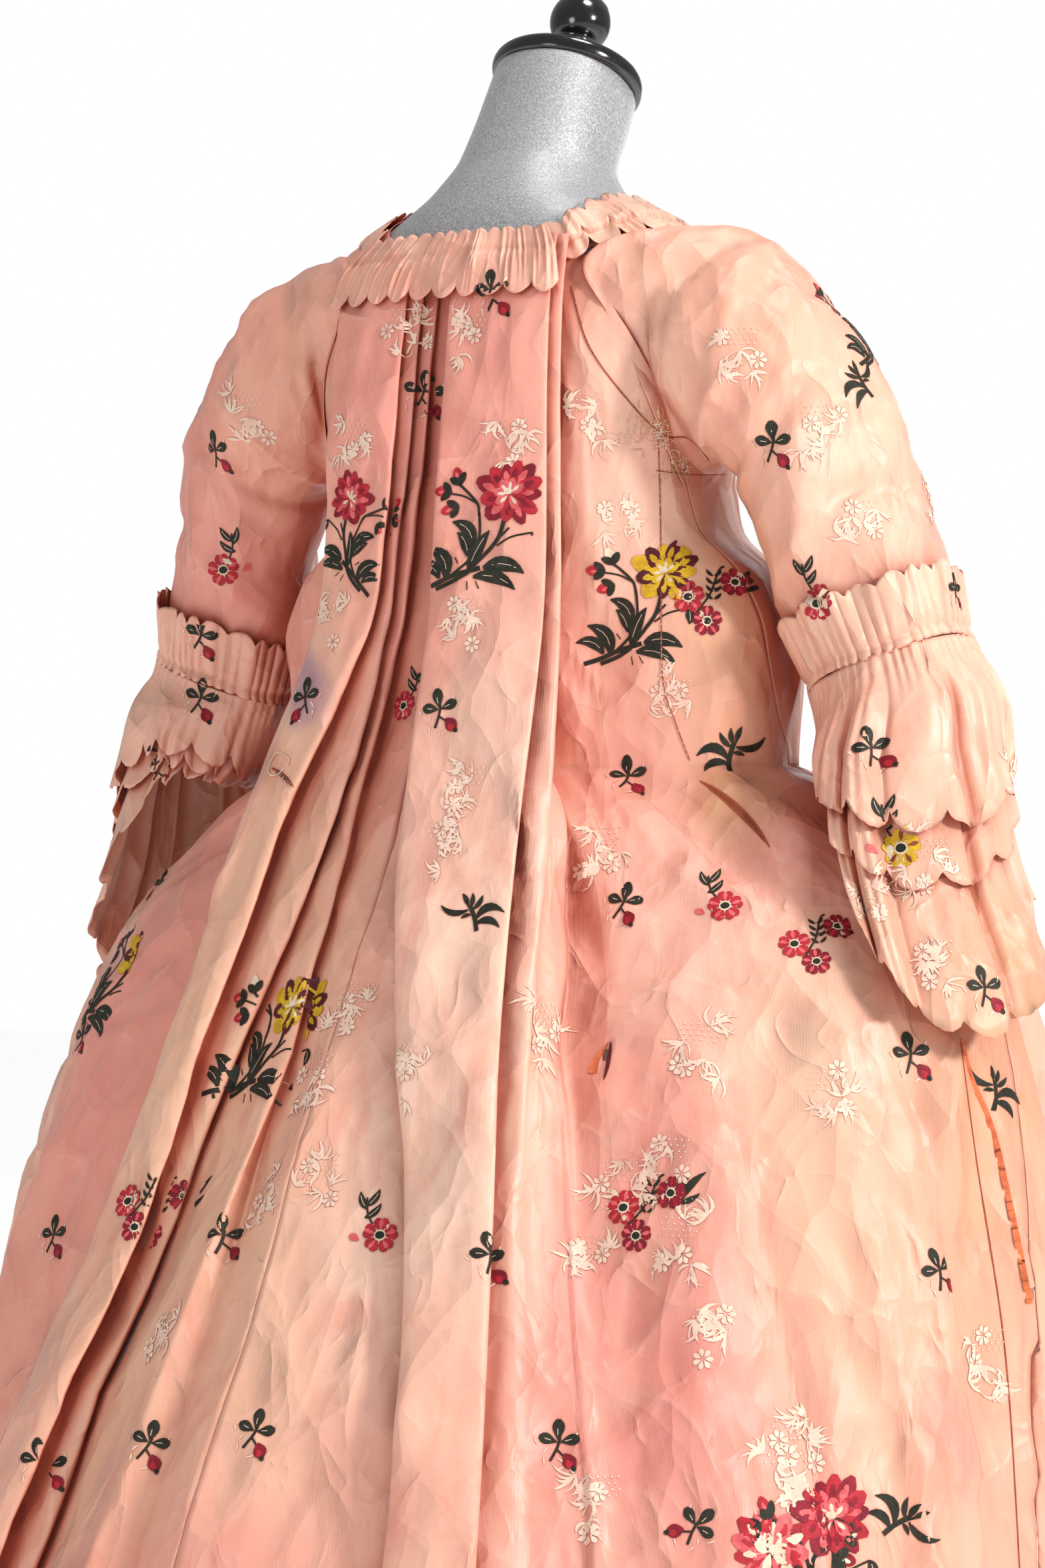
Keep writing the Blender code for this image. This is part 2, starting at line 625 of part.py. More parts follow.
def make_shoulder_trim(name, look):
    grid = strap_grid(name, 0.001, 0.005, STRAP_ON_FORM + WALL + 0.0006, 16, 0.002)
    return sheet("shoulder_trim_" + name, grid, look)


def make_neck_ruche(look):
    """Gathered band across the back neck, scalloped along both edges."""
    scallops, steps = 10, 4
    count = scallops * steps
    grid = []
    for row, (height, bulge, right, left) in enumerate((
            (1.3755, 0.0012, 0.080, 0.066), (1.357, 0.0040, 0.089, 0.086),
            (1.334, 0.0026, 0.095, 0.102))):
        line = []
        for k in range(count + 1):
            place = lerp(-right, left, k / count)
            arch = abs(math.sin(math.pi * k / steps))
            gather = 0.0012 * math.cos(math.pi * k) * (row == 1)
            edge = {0: 0.003, 2: -0.006}.get(row, 0.0) * arch
            line.append(face_point(place, -(bulge + gather), height + edge, 1))
        grid.append(line)
    return sheet("neck_ruche", grid, look)


# ---- sleeves --------------------------------------------------------------------------
def closed_curve(points, count):
    """Points evenly spread along a smooth loop through the given points."""
    points = [np.array(p, float) for p in points]
    total = len(points)
    dense = []
    for i in range(total):
        a, b, c, d = (points[(i + k - 1) % total] for k in range(4))
        for step in range(12):
            t = step / 12
            dense.append(0.5 * (2 * b + (c - a) * t + (2 * a - 5 * b + 4 * c - d) * t ** 2
                                + (3 * b - a - 3 * c + d) * t ** 3))
    dense = np.array(dense + [dense[0]])
    length = np.concatenate([[0], np.cumsum(np.linalg.norm(np.diff(dense, axis=0), axis=1))])
    marks = np.arange(count) * length[-1] / count
    return np.stack([np.interp(marks, length, dense[:, k]) for k in range(3)], axis=1)


def sleeve_frame(row):
    """Centre, sideways and outward half axes of one sleeve ring on the left side."""
    outer_x, outer_z, inner_x, inner_z, half_depth, back = row
    centre = np.array([(outer_x + inner_x) / 2, back, (outer_z + inner_z) / 2])
    across = np.array([(outer_x - inner_x) / 2, 0.0, (outer_z - inner_z) / 2])
    return centre, across, np.array([0.0, half_depth, 0.0])


def sleeve_ring(row, count, grow=0.0):
    """A sleeve ring that starts at the back and goes over the outer side to the front."""
    centre, across, depth = sleeve_frame(row)
    across = across * (1 + grow / np.linalg.norm(across))
    depth = depth * (1 + grow / np.linalg.norm(depth))
    turns = (2 * math.pi * k / count for k in range(count))
    return np.array([centre + depth * math.cos(t) + across * math.sin(t) for t in turns])


def mirrored(grid, side):
    grid = np.array(grid, float)
    grid[..., 0] *= side
    return grid


def make_sleeve(name, look):
    loop = closed_curve([over_torso(angle, z, 1, ON_FORM + 0.0026) for angle, z in ARMHOLE],
                        SLEEVE_POINTS)
    start = int(np.argmax(loop[:, 1]))
    loop = np.roll(loop, -start, axis=0)
    head = sleeve_ring(SLEEVE[0], SLEEVE_POINTS)
    turns = 2 * math.pi * np.arange(SLEEVE_POINTS) / SLEEVE_POINTS
    crown = np.outer(np.maximum(np.sin(turns), 0), [0.003, 0.0, 0.008])
    grid = [loop, lerp(loop, head, 0.5) + crown, head]
    grid += [sleeve_ring(row, SLEEVE_POINTS) for row in SLEEVE[1:]]
    return sheet("sleeve_" + name, mirrored(grid, SIDES[name]), look, wrap=True)


def cuff_axis():
    """Where the sleeve ends, and the direction down its length."""
    last, before = sleeve_frame(SLEEVE[-1])[0], sleeve_frame(SLEEVE[-2])[0]
    down = last - before
    return last, down / np.linalg.norm(down)


def make_cuff_ruche(name, look):
    """Gathered band round the sleeve's end, standing up at its top edge."""
    gathers = 20
    count = 2 * gathers
    _, down = cuff_axis()
    grid = []
    for along, out, wave in ((-0.044, 0.0085, 0.0030), (-0.022, 0.0044, 0.0012),
                             (0.0, 0.0023, 0.0002)):
        ring = sleeve_ring(SLEEVE[-1], count)
        centre = ring.mean(axis=0)
        line = []
        for k, p in enumerate(ring):
            outward = (p - centre) / np.linalg.norm(p - centre)
            line.append(p + down * along + outward * (out + wave * (-1) ** k))
        grid.append(line)
    return sheet("cuff_ruche_" + name, mirrored(grid, SIDES[name]), look, wrap=True)


def clear_of_skirt(point, distance):
    """The step that takes a point of the left side to a distance over the skirt."""
    half_width, front, back, _ = (column(point[2]) for column in SKIRT_CURVES)
    half_width += distance + hanging_side(point[2])
    depth = distance + lerp(front, back, ease(0.5 + point[1] / 0.1))
    x, y = point[0] / half_width, point[1] / depth
    reach = math.hypot(x, y)
    steep = np.array([x / reach / half_width, y / reach / depth, 0.0])
    short = (1 - reach) / np.linalg.norm(steep)
    step = SOFTNESS * math.log1p(math.exp(min(short / SOFTNESS, 60.0)))
    return step * steep / np.linalg.norm(steep)


def elbow_side(turn, name):
    """1 at the elbow, 0 at the bend of the arm."""
    return (0.5 + 0.5 * math.cos(turn - ELBOW_TURN[name])) ** FLOUNCE_FALL


def sleeve_outward(turn):
    """Direction out of the left sleeve's end: turn 0 is the back of the sleeve."""
    _, across, depth = sleeve_frame(SLEEVE[-1])
    way = depth * math.cos(turn) + across * math.sin(turn)
    return way / np.linalg.norm(way)


def flounce_base(turn, below, name):
    """The lowest flounce's smooth surface on the left side."""
    centre, across, depth = sleeve_frame(SLEEVE[-1])
    _, down = cuff_axis()
    rim = centre + depth * math.cos(turn) + across * math.sin(turn)
    outward = sleeve_outward(turn)
    drop = lerp(down, np.array([0.0, 0.0, -1.0]), ease(0.3 + below / 0.12))
    drop = drop / np.linalg.norm(drop)
    flat = np.array([outward[0], outward[1], 0.0])
    flat = flat / np.linalg.norm(flat)
    swing = FLOUNCE_FLARE * ease(below / 0.12) * lerp(0.1, 1.0, elbow_side(turn, name))
    point = rim + drop * (below + FLOUNCE_START) + flat * swing
    return point + clear_of_skirt(point, FLOUNCE_REST) * ease(below / 0.06)


def flounce_point(row, turn, v, scallop, wave, name):
    """A point of a flounce: v 0 is its top and v 1 its pinked edge."""
    _, elbow, bend, near_top, lower_down, _ = row
    below = (lerp(bend, elbow, elbow_side(turn, name)) + scallop) * v
    around, along = 0.04, 0.004
    across = flounce_base(turn + around, below, name) - flounce_base(turn - around, below, name)
    down = flounce_base(turn, below + along, name) - flounce_base(turn, below - along, name)
    square = np.cross(across, down)
    square = square / np.linalg.norm(square)
    outward, grown = sleeve_outward(turn), ease(below / 0.05)
    lower_down = lerp(3.3 * near_top, lower_down, elbow_side(turn, name))
    return (flounce_base(turn, below, name) + outward * near_top * (1 - grown)
            + square * (lower_down * grown + wave * v))


def make_flounce(name, row, look):
    count = 2 * FLOUNCE_SCALLOPS
    grid = []
    for v in np.linspace(0, 1, row[-1]):
        line = []
        for k in range(count):
            turn = 2 * math.pi * k / count
            scallop = 0.010 if k % 2 else 0.0
            wave = 0.002 * math.sin(FLOUNCE_WAVES * turn)
            line.append(flounce_point(row, turn, v, scallop, wave, name))
        grid.append(line)
    title = "flounce_" + row[0] + "_" + name
    return sheet(title, mirrored(grid, SIDES[name]), look, wrap=True)


# ---- the form -------------------------------------------------------------------------
def turned(name, profile, foot, axis, look, count):
    """A turned piece: (radius, height) pairs from its bottom pole to its top pole."""
    axis = np.array(axis, float) / np.linalg.norm(axis)
    wide = np.cross(axis, (0.0, 1.0, 0.0) if abs(axis[1]) < 0.9 else (1.0, 0.0, 0.0))
    wide = wide / np.linalg.norm(wide)
    deep = np.cross(axis, wide)
    foot = np.array(foot, float)
    points = [foot + axis * profile[0][1]]
    for radius, height in profile[1:-1]:
        for k in range(count):
            t = 2 * math.pi * k / count
            points.append(foot + axis * height
                          + radius * (wide * math.cos(t) + deep * math.sin(t)))
    points.append(foot + axis * profile[-1][1])
    last = len(points) - 1
    faces = []
    for k in range(count):
        n = (k + 1) % count
        faces.append((0, 1 + n, 1 + k))
        for r in range(len(profile) - 3):
            a = 1 + r * count
            faces.append((a + k, a + n, a + count + n, a + count + k))
        a = 1 + (len(profile) - 3) * count
        faces.append((a + k, a + n, last))
    return add_object(name, points, faces, look)


def make_form_body(look):
    heights = (0.78, 0.79, 0.86, 0.93, 1.000, 1.030, 1.090, 1.170, 1.243, 1.285, 1.330,
               1.372, 1.385, 1.400, 1.415, 1.440, 1.470, FORM_TOP)
    count = 28
    points = []
    for z in heights:
        shrink = 0.93 if z == FORM_BOTTOM else 1.0
        for k in range(count):
            point = torso_point(360.0 * k / count, z, 1)
            points.append(point * np.array([shrink, shrink, 1.0]))
    faces = [tuple(range(count)), tuple((len(heights) - 1) * count + k for k in range(count))]
    for r in range(len(heights) - 1):
        for k in range(count):
            a, b = r * count + k, r * count + (k + 1) % count
            faces.append((a, b, b + count, a + count))
    return add_object("form_body", points, faces, look)


def neck_top():
    """The middle of the neck's top and the direction up from it."""
    middle = (torso_point(0, FORM_TOP, 1) + torso_point(180, FORM_TOP, 1)) / 2
    return middle, np.array([0.0, -math.sin(NECK_TILT), math.cos(NECK_TILT)])


def make_form(cloth, lacquer):
    make_form_body(cloth)
    middle, axis = neck_top()
    up = (0.0, 0.0, 1.0)
    cap = ((0, 0), (0.045, 0), (0.055, 0.001), (CAP_RADIUS, 0.006), (0.055, 0.013),
           (0.044, 0.017), (0.032, 0.025), (0.016, 0.031), (0, 0.031))
    turned("form_neck_cap", cap, middle + axis * FIT, axis, lacquer, 24)
    ball = tuple((0.0232 * math.sin(math.radians(a)), 0.024 - 0.0232 * math.cos(math.radians(a)))
                 for a in range(40, 150, 26))
    finial = (((0, 0), (0.0145, 0), (0.0145, 0.003)) + ball
              + ((0.0125, 0.047), (0.0140, 0.078), (0.0110, 0.084), (0, 0.086)))
    turned("form_finial", finial, middle + axis * (0.031 + 2 * FIT), axis, lacquer, 16)
    pole = ((0, BASE_HEIGHT + FIT), (POLE_RADIUS, BASE_HEIGHT + FIT),
            (POLE_RADIUS, FORM_BOTTOM - FIT), (0, FORM_BOTTOM - FIT))
    turned("form_pole", pole, (0, 0, 0), up, lacquer, 16)
    base = ((0, 0), (BASE_RADIUS - 0.004, 0), (BASE_RADIUS, 0.006), (BASE_RADIUS - 0.006, 0.020),
            (0.080, 0.025), (0.034, BASE_HEIGHT), (0, BASE_HEIGHT))
    turned("form_base", base, (0, 0, 0), up, lacquer, 28)


def make_hip_button(name, look):
    """A covered button on the back's side edge, where the skirt is looped up."""
    grid = np.array([back_section(name, z) for z in BACK_ROWS])
    place = grid[BACK_ROWS.index(0.840), -2]
    outward = grid_normals(grid, False)[BACK_ROWS.index(0.840), -2]
    outward = outward * math.copysign(1.0, outward[0] * place[0])
    profile = ((0, 0), (0.0045, 0), (0.0062, 0.002), (0.0050, 0.0045), (0.0025, 0.0056),
               (0, 0.0058))
    turned("hip_button_" + name, profile, place + outward * 0.0014, outward, look, 12)


# ---- build ----------------------------------------------------------------------------
def main():
    for old in list(bpy.data.objects):
        bpy.data.objects.remove(old, do_unlink=True)
    silk = material("silk", SILK, 0.42)
    pale = material("silk_trim", SILK_PALE, 0.45)
    cloth = material("form_cloth", FORM_CLOTH, 0.45, 0.2)
    lacquer = material("lacquer", BLACK_LACQUER, 0.12)
    make_form(cloth, lacquer)
    for name in SIDES:
        back = make_back(name, silk)
        if name == "right":
            cut_tear(back)
        make_bodice_front(name, silk)
        make_skirt_front(name, silk)
        make_robing(name, pale)
        make_front_ruche(name, pale)
        make_strap(name, silk)
        make_shoulder_trim(name, pale)
        make_sleeve(name, silk)
        make_cuff_ruche(name, pale)
        for row in FLOUNCES:
            make_flounce(name, row, pale)
        make_hip_button(name, silk)
    make_neck_ruche(pale)


main()
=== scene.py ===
"""Looks of the robe a la francaise on its limbless dress form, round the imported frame.

Metres, +Z up, in the frame's own axes: the wearer faces -Y and the wearer's right is -X.
The cloth repeats the solids' surfaces on finer grids, with pressed folds, soft creases,
gathers and pinked edges. The woven flowers are cloth shapes that lie on the silk.
"""
import math
import random

import bpy
import numpy as np
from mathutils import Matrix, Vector, noise
from mathutils.bvhtree import BVHTree


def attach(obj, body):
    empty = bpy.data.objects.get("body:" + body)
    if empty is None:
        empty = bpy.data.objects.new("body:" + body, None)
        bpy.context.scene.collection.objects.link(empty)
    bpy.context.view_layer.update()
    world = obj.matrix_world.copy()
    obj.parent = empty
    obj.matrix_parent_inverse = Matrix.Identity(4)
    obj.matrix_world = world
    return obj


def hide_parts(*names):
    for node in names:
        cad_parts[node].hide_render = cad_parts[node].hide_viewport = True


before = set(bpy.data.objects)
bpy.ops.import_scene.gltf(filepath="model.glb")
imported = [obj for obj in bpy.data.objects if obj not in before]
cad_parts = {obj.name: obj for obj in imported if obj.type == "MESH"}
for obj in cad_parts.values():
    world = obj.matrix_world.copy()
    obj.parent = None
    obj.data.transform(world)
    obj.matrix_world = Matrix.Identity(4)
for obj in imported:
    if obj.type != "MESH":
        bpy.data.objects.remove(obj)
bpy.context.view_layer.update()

# ---- driving dimensions ---------------------------------------------------------------
SEAM = 0.00025             # half the gap at a seam between two pieces
ON_FORM = 0.0024           # middle of the cloth over the form's surface
WAIST = 1.000              # height of the waist seam
SQUARENESS = 2.2           # 2 is an ellipse, more is squarer

FORM_BOTTOM, FORM_TOP = 0.780, 1.505
NECK_TILT = math.radians(22)
CAP_RADIUS = 0.057
FIT = 0.0003               # gap where two pieces of the form meet

SIDES = {"left": 1, "right": -1}

# height, half width, front depth, back depth, centre forward (-y)
TORSO = (
    (0.78, 0.150, 0.105, 0.105, 0.000),
    (0.86, 0.152, 0.105, 0.112, 0.000),
    (0.93, 0.138, 0.100, 0.102, 0.000),
    (1.00, 0.118, 0.092, 0.088, 0.000),
    (1.06, 0.122, 0.098, 0.088, 0.000),
    (1.12, 0.134, 0.115, 0.092, 0.000),
    (1.18, 0.146, 0.135, 0.097, 0.000),
    (1.24, 0.155, 0.118, 0.102, 0.000),
    (1.29, 0.166, 0.095, 0.100, 0.000),
    (1.345, 0.164, 0.075, 0.091, 0.000),
    (1.38, 0.128, 0.062, 0.081, 0.000),
    (1.40, 0.095, 0.056, 0.074, 0.002),
    (1.42, 0.070, 0.052, 0.066, 0.008),
    (1.44, 0.058, 0.050, 0.056, 0.018),
    (1.475, 0.053, 0.050, 0.051, 0.038),
    (1.505, 0.051, 0.050, 0.050, 0.054),
)

# height, half width, front depth, back depth of the skirt at its plain surface, squareness
SKIRT = (
    (1.000, 0.1204, 0.0944, 0.0904, 2.20),
    (0.972, 0.205, 0.112, 0.106, 2.00),
    (0.940, 0.278, 0.148, 0.122, 1.90),
    (0.900, 0.340, 0.200, 0.148, 1.88),
    (0.840, 0.382, 0.250, 0.188, 1.92),
    (0.760, 0.398, 0.290, 0.238, 2.00),
    (0.640, 0.408, 0.335, 0.304, 2.10),
    (0.450, 0.430, 0.385, 0.388, 2.20),
    (0.230, 0.462, 0.430, 0.480, 2.20),
    (0.012, 0.495, 0.470, 0.570, 2.20),
)

# height, half width and depth of the outer face that the back pleats hang in
PLEAT_FACE = (
    (1.372, 0.165, 0.1050),
    (1.335, 0.185, 0.1155),
    (1.285, 0.200, 0.1240),
    (1.243, 0.205, 0.1295),
    (1.130, 0.205, 0.1430),
    (0.970, 0.240, 0.185),
    (0.830, 0.345, 0.236),
    (0.700, 0.390, 0.290),
    (0.450, 0.440, 0.420),
    (0.012, 0.520, 0.620),
)

# height, how far the gown's side hangs out of the fitted shape
HANGING = ((1.203, 0.000), (1.170, 0.012), (1.135, 0.054), (1.090, 0.078), (1.040, 0.082),
           (1.000, 0.082), (0.972, 0.052), (0.940, 0.016), (0.915, 0.000))

# height, edge angle of the back piece: neck, shoulder, armhole, side-back seam, side seam
BACK_EDGE = (
    (1.372, 33.0), (1.335, 40.0), (1.285, 54.0), (1.243, 71.0), (1.170, 82.0), (1.090, 87.0),
    (1.030, 94.0), (1.000, 99.0), (0.945, 94.0), (0.840, 87.0), (0.700, 86.0), (0.012, 86.0),
)
# height, front edge angle of the bodice front, and its armhole edge above the underarm
BODICE_OPENING = ((1.345, 147.0), (1.285, 149.0), (1.20, 153.0), (1.09, 158.0), (1.00, 163.0))
ARMHOLE_FRONT = ((1.190, 75.0), (1.203, 83.0), (1.215, 94.0), (1.230, 105.0), (1.243, 112.0),
                 (1.285, 123.0), (1.345, 129.0))
# height, front edge angle of the skirt
SKIRT_OPENING = ((1.000, 158.0), (0.972, 148.0), (0.940, 140.0), (0.90, 133.0), (0.840, 127.0),
                 (0.760, 124.0), (0.450, 124.0), (0.012, 126.0))

# Heights at which the pleat columns below are given.
PLEAT_HEIGHTS = (1.372, 1.130, 0.970, 0.830, 0.700, 0.450, 0.012)
# Half the space between two layers at a fold, and the length that a fold rounds over.
FOLD_GAP = (0.0013, 0.0030, 0.0046, 0.0042, 0.0042, 0.0060, 0.0080)
FOLD_ROUND = (0.0018, 0.0035, 0.0060, 0.0070, 0.0080, 0.0110, 0.0140)

# The centre back seam: how far to the wearer's left, and how deep under the face.
SEAM_PLACE = (-0.003, 0.000, 0.005, 0.010, 0.010, 0.010, 0.010)
SEAM_DEPTH = (0.0156, 0.030, 0.034, 0.016, 0.004, 0.000, 0.000)

# One row per fold, from the centre out: name, +1 where the cloth turns under and -1 where
# it comes up, places from the centre line, depths under the pleat face.
PLEATS = {
    "right": (
        ("inner_tuck", -1, (0.034, 0.040, 0.048, 0.072, 0.108, 0.168, 0.212),
         (0.0039, 0.009, 0.0138, 0.016, 0.020, 0.028, 0.034)),
        ("inner_edge", -1, (0.010, 0.011, 0.015, 0.043, 0.085, 0.142, 0.182),
         (0.0013, 0.003, 0.0046, 0.0042, 0.006, 0.008, 0.010)),
        ("outer_edge", 1, (0.086, 0.099, 0.106, 0.125, 0.150, 0.205, 0.252),
         (0.0013, 0.003, 0.0046, 0.0042, 0.006, 0.008, 0.010)),
        ("outer_tuck", 1, (0.058, 0.066, 0.070, 0.098, 0.132, 0.186, 0.230),
         (0.0039, 0.009, 0.0138, 0.013, 0.018, 0.022, 0.028)),
        ("second_edge", 1, (0.093, 0.107, 0.122, 0.139, 0.158, 0.224, 0.276),
         (0.0065, 0.015, 0.0230, 0.021, 0.024, 0.034, 0.042)),
    ),
    "left": (
        ("third_tuck", -1, (0.030, 0.040, 0.055, 0.055, 0.056, 0.062, 0.070),
         (0.0143, 0.027, 0.033, 0.027, 0.022, 0.020, 0.020)),
        ("third_edge", -1, (0.006, 0.018, 0.043, 0.045, 0.062, 0.090, 0.105),
         (0.0117, 0.021, 0.027, 0.020, 0.008, 0.002, 0.000)),
        ("second_tuck", -1, (0.040, 0.050, 0.076, 0.112, 0.146, 0.192, 0.230),
         (0.0091, 0.0165, 0.0225, 0.031, 0.036, 0.042, 0.056)),
        ("second_edge", -1, (0.015, 0.027, 0.050, 0.090, 0.124, 0.168, 0.200),
         (0.0065, 0.0125, 0.0170, 0.0220, 0.026, 0.030, 0.040)),
        ("inner_tuck", -1, (0.048, 0.056, 0.108, 0.138, 0.158, 0.208, 0.248),
         (0.0039, 0.0080, 0.0115, 0.0135, 0.016, 0.018, 0.024)),
        ("inner_edge", -1, (0.026, 0.034, 0.088, 0.117, 0.134, 0.182, 0.220),
         (0.0013, 0.0030, 0.0046, 0.0050, 0.006, 0.006, 0.008)),
        ("outer_edge", 1, (0.096, 0.092, 0.140, 0.160, 0.182, 0.236, 0.282),
         (0.0013, 0.0030, 0.0046, 0.0042, 0.006, 0.006, 0.008)),
        ("outer_tuck", 1, (0.070, 0.068, 0.120, 0.144, 0.168, 0.218, 0.262),
         (0.0039, 0.009, 0.0138, 0.013, 0.018, 0.018, 0.024)),
        ("side_edge", 1, (0.101, 0.104, 0.146, 0.170, 0.190, 0.250, 0.300),
         (0.0065, 0.015, 0.0230, 0.021, 0.024, 0.030, 0.040)),
    ),
}
# height, ring angle where the last tuck of the pleats meets the body or the skirt
LAST_TUCK = {
    "right": ((1.372, 20.0), (1.130, 25.0), (1.000, 30.0), (0.970, 28.0), (0.900, 22.0),
              (0.830, 22.0), (0.700, 27.0), (0.450, 37.0), (0.012, 42.0)),
    "left": ((1.372, 22.0), (1.130, 26.0), (1.000, 38.0), (0.970, 40.0), (0.900, 30.0),
             (0.830, 28.0), (0.700, 33.0), (0.450, 43.0), (0.012, 46.0)),
}
# height, depth of the valley in the skirt beside the last tuck
SIDE_VALLEY = ((1.000, 0.000), (0.960, 0.000), (0.900, 0.024), (0.830, 0.034), (0.700, 0.036),
               (0.450, 0.016), (0.012, 0.010))
SIDE_VALLEY_WIDTH = 9.0

# Skirt folds: angle at the waist, angle at the hem, width in degrees, height at the hem
# (negative for a valley), height that it starts at.
SKIRT_FOLDS = {
    "right": (
        (36, 47, 5.0, 0.012, 0.96), (44, 53, 4.0, -0.014, 0.93), (52, 59, 5.0, 0.012, 0.94),
        (60, 66, 3.5, -0.010, 0.90), (70, 73, 5.0, 0.010, 0.96), (80, 80, 4.0, -0.012, 0.96),
        (91, 91, 4.5, 0.012, 0.98), (101, 100, 4.0, -0.032, 0.97), (112, 111, 5.5, 0.020, 0.97),
        (121, 119, 3.5, -0.008, 0.93),
    ),
    "left": (
        (46, 46, 4.0, -0.010, 0.94), (53, 53, 5.0, 0.012, 0.95), (62, 61, 4.0, -0.014, 0.93),
        (71, 69, 5.0, 0.012, 0.95), (80, 78, 4.0, -0.010, 0.96), (93, 93, 4.5, 0.012, 0.98),
        (102, 101, 4.0, -0.026, 0.97), (113, 112, 5.5, 0.020, 0.97),
        (122, 119, 3.5, -0.008, 0.93),
    ),
}

# A slit worn through the skirt: ring angle, height, width and length.
TEAR_ANGLE, TEAR_HEIGHT, TEAR_WIDTH, TEAR_LENGTH = 27.2, 0.800, 0.005, 0.022

# Sleeve rings: outer point (x, z), inner point (x, z), half depth, centre back (+y).
SLEEVE = (
    (0.204, 1.366, 0.168, 1.212, 0.072, 0.008),
    (0.244, 1.334, 0.180, 1.208, 0.069, 0.010),
    (0.276, 1.288, 0.193, 1.186, 0.065, 0.006),
    (0.300, 1.230, 0.206, 1.148, 0.062, -0.002),
    (0.320, 1.168, 0.216, 1.106, 0.059, -0.012),
    (0.341, 1.089, 0.234, 1.049, 0.056, -0.022),
)
# The armhole: ring angle and height, from the back corner over the shoulder to the front,
# under the arm and up the back again.
ARMHOLE = ((36, 1.350), (62, 1.371), (88, 1.375), (112, 1.368), (128, 1.346), (127, 1.305),
           (120, 1.258), (106, 1.222), (91, 1.204), (77, 1.218), (63, 1.258), (48, 1.300))
SLEEVE_POINTS = 18

# Sleeve flounces: name, length at the elbow and at the bend of the arm opposite, distance
# out of the lowest flounce at the top and lower down.
FLOUNCES = (
    ("upper", 0.122, 0.046, 0.0036, 0.0150),
    ("middle", 0.160, 0.054, 0.0018, 0.0056),
    ("lower", 0.255, 0.058, 0.0000, 0.0000),
)
FLOUNCE_START = 0.0004     # gap between the sleeve's end and the flounces
FLOUNCE_EXTRA = 0.004      # length past the table's, which the petals are cut into
FLOUNCE_FLARE = 0.026      # how far the elbow side swings out
FLOUNCE_FALL = 2.2         # how quickly a flounce grows from its short side to its long one
FLOUNCE_REST = 0.008       # the lowest flounce over the skirt
SOFTNESS = 0.055           # over how much cloth the skirt turns a flounce aside
# Radians from the back of the sleeve over its outer side to its elbow side.
ELBOW_TURN = {"right": 0.80, "left": 1.90}


# ---- small tools ----------------------------------------------------------------------
def curve(points):
    """A smooth curve through (place, value) pairs that never overshoots them."""
    pairs = sorted(points)
    place = np.array([p[0] for p in pairs], float)
    value = np.array([p[1] for p in pairs], float)
    step = np.diff(place)
    slope = np.diff(value) / step
    lean = np.zeros_like(value)
    lean[0], lean[-1] = slope[0], slope[-1]
    for i in range(1, len(place) - 1):
        if slope[i - 1] * slope[i] > 0:
            ahead, behind = 2 * step[i] + step[i - 1], step[i] + 2 * step[i - 1]
            lean[i] = (ahead + behind) / (ahead / slope[i - 1] + behind / slope[i])

    def at(where):
        where = min(max(where, place[0]), place[-1])
        i = min(max(int(np.searchsorted(place, where)) - 1, 0), len(step) - 1)
        t = (where - place[i]) / step[i]
        rise = value[i] * (1 + 2 * t) * (1 - t) ** 2 + value[i + 1] * t * t * (3 - 2 * t)
        return rise + step[i] * t * (1 - t) * (lean[i] * (1 - t) - lean[i + 1] * t)

    return at


def columns(table):
    """One curve for each value column of a table whose first column is the height."""
    return [curve([(row[0], row[i]) for row in table]) for i in range(1, len(table[0]))]


def clamp01(t):
    return min(max(t, 0.0), 1.0)


def ease(t):
    t = clamp01(t)
    return t * t * (3 - 2 * t)


def lerp(a, b, t):
    return a + (b - a) * t


TORSO_CURVES = columns(TORSO)
SKIRT_CURVES = columns(SKIRT)
FACE_CURVES = columns(PLEAT_FACE)
back_edge = curve(BACK_EDGE)
bodice_opening = curve(BODICE_OPENING)
armhole_front = curve(ARMHOLE_FRONT)
skirt_opening = curve(SKIRT_OPENING)
fold_gap = curve(zip(PLEAT_HEIGHTS, FOLD_GAP))
fold_round = curve(zip(PLEAT_HEIGHTS, FOLD_ROUND))
seam_place = curve(zip(PLEAT_HEIGHTS, SEAM_PLACE))
seam_depth = curve(zip(PLEAT_HEIGHTS, SEAM_DEPTH))
side_valley = curve(SIDE_VALLEY)
hanging_side = curve(HANGING)
last_tuck = {name: curve(rows) for name, rows in LAST_TUCK.items()}
pleat_folds = {
    name: [(turn, curve(zip(PLEAT_HEIGHTS, place)), curve(zip(PLEAT_HEIGHTS, depth)))
           for _, turn, place, depth in rows]
    for name, rows in PLEATS.items()
}


# ---- the form's and the gown's surfaces -----------------------------------------------
def ring_point(half_width, depth, angle, side, squareness=SQUARENESS):
    """A point of a squarish ring, and the ring's outward direction there."""
    s, c = math.sin(math.radians(angle)), math.cos(math.radians(angle))
    power = 2 / squareness
    x = half_width * abs(s) ** power
    y = depth * abs(c) ** power
    out_x = (x / half_width) ** (squareness - 1) / half_width
    out_y = (y / depth) ** (squareness - 1) / depth
    length = math.hypot(out_x, out_y)
    back = 1 if c >= 0 else -1
    lean = 1 if s >= 0 else -1
    return (np.array([side * lean * x, back * y]),
            np.array([side * lean * out_x / length, back * out_y / length]))


def torso_point(angle, z, side):
    half_width, front, back, forward = (column(z) for column in TORSO_CURVES)
    depth = back if math.cos(math.radians(angle)) >= 0 else front
    flat, _ = ring_point(half_width, depth, angle, side)
    tilt = math.tan(NECK_TILT) * ease((z - 1.41) / (1.49 - 1.41))
    return np.array([flat[0], flat[1] - forward, z + tilt * flat[1]])


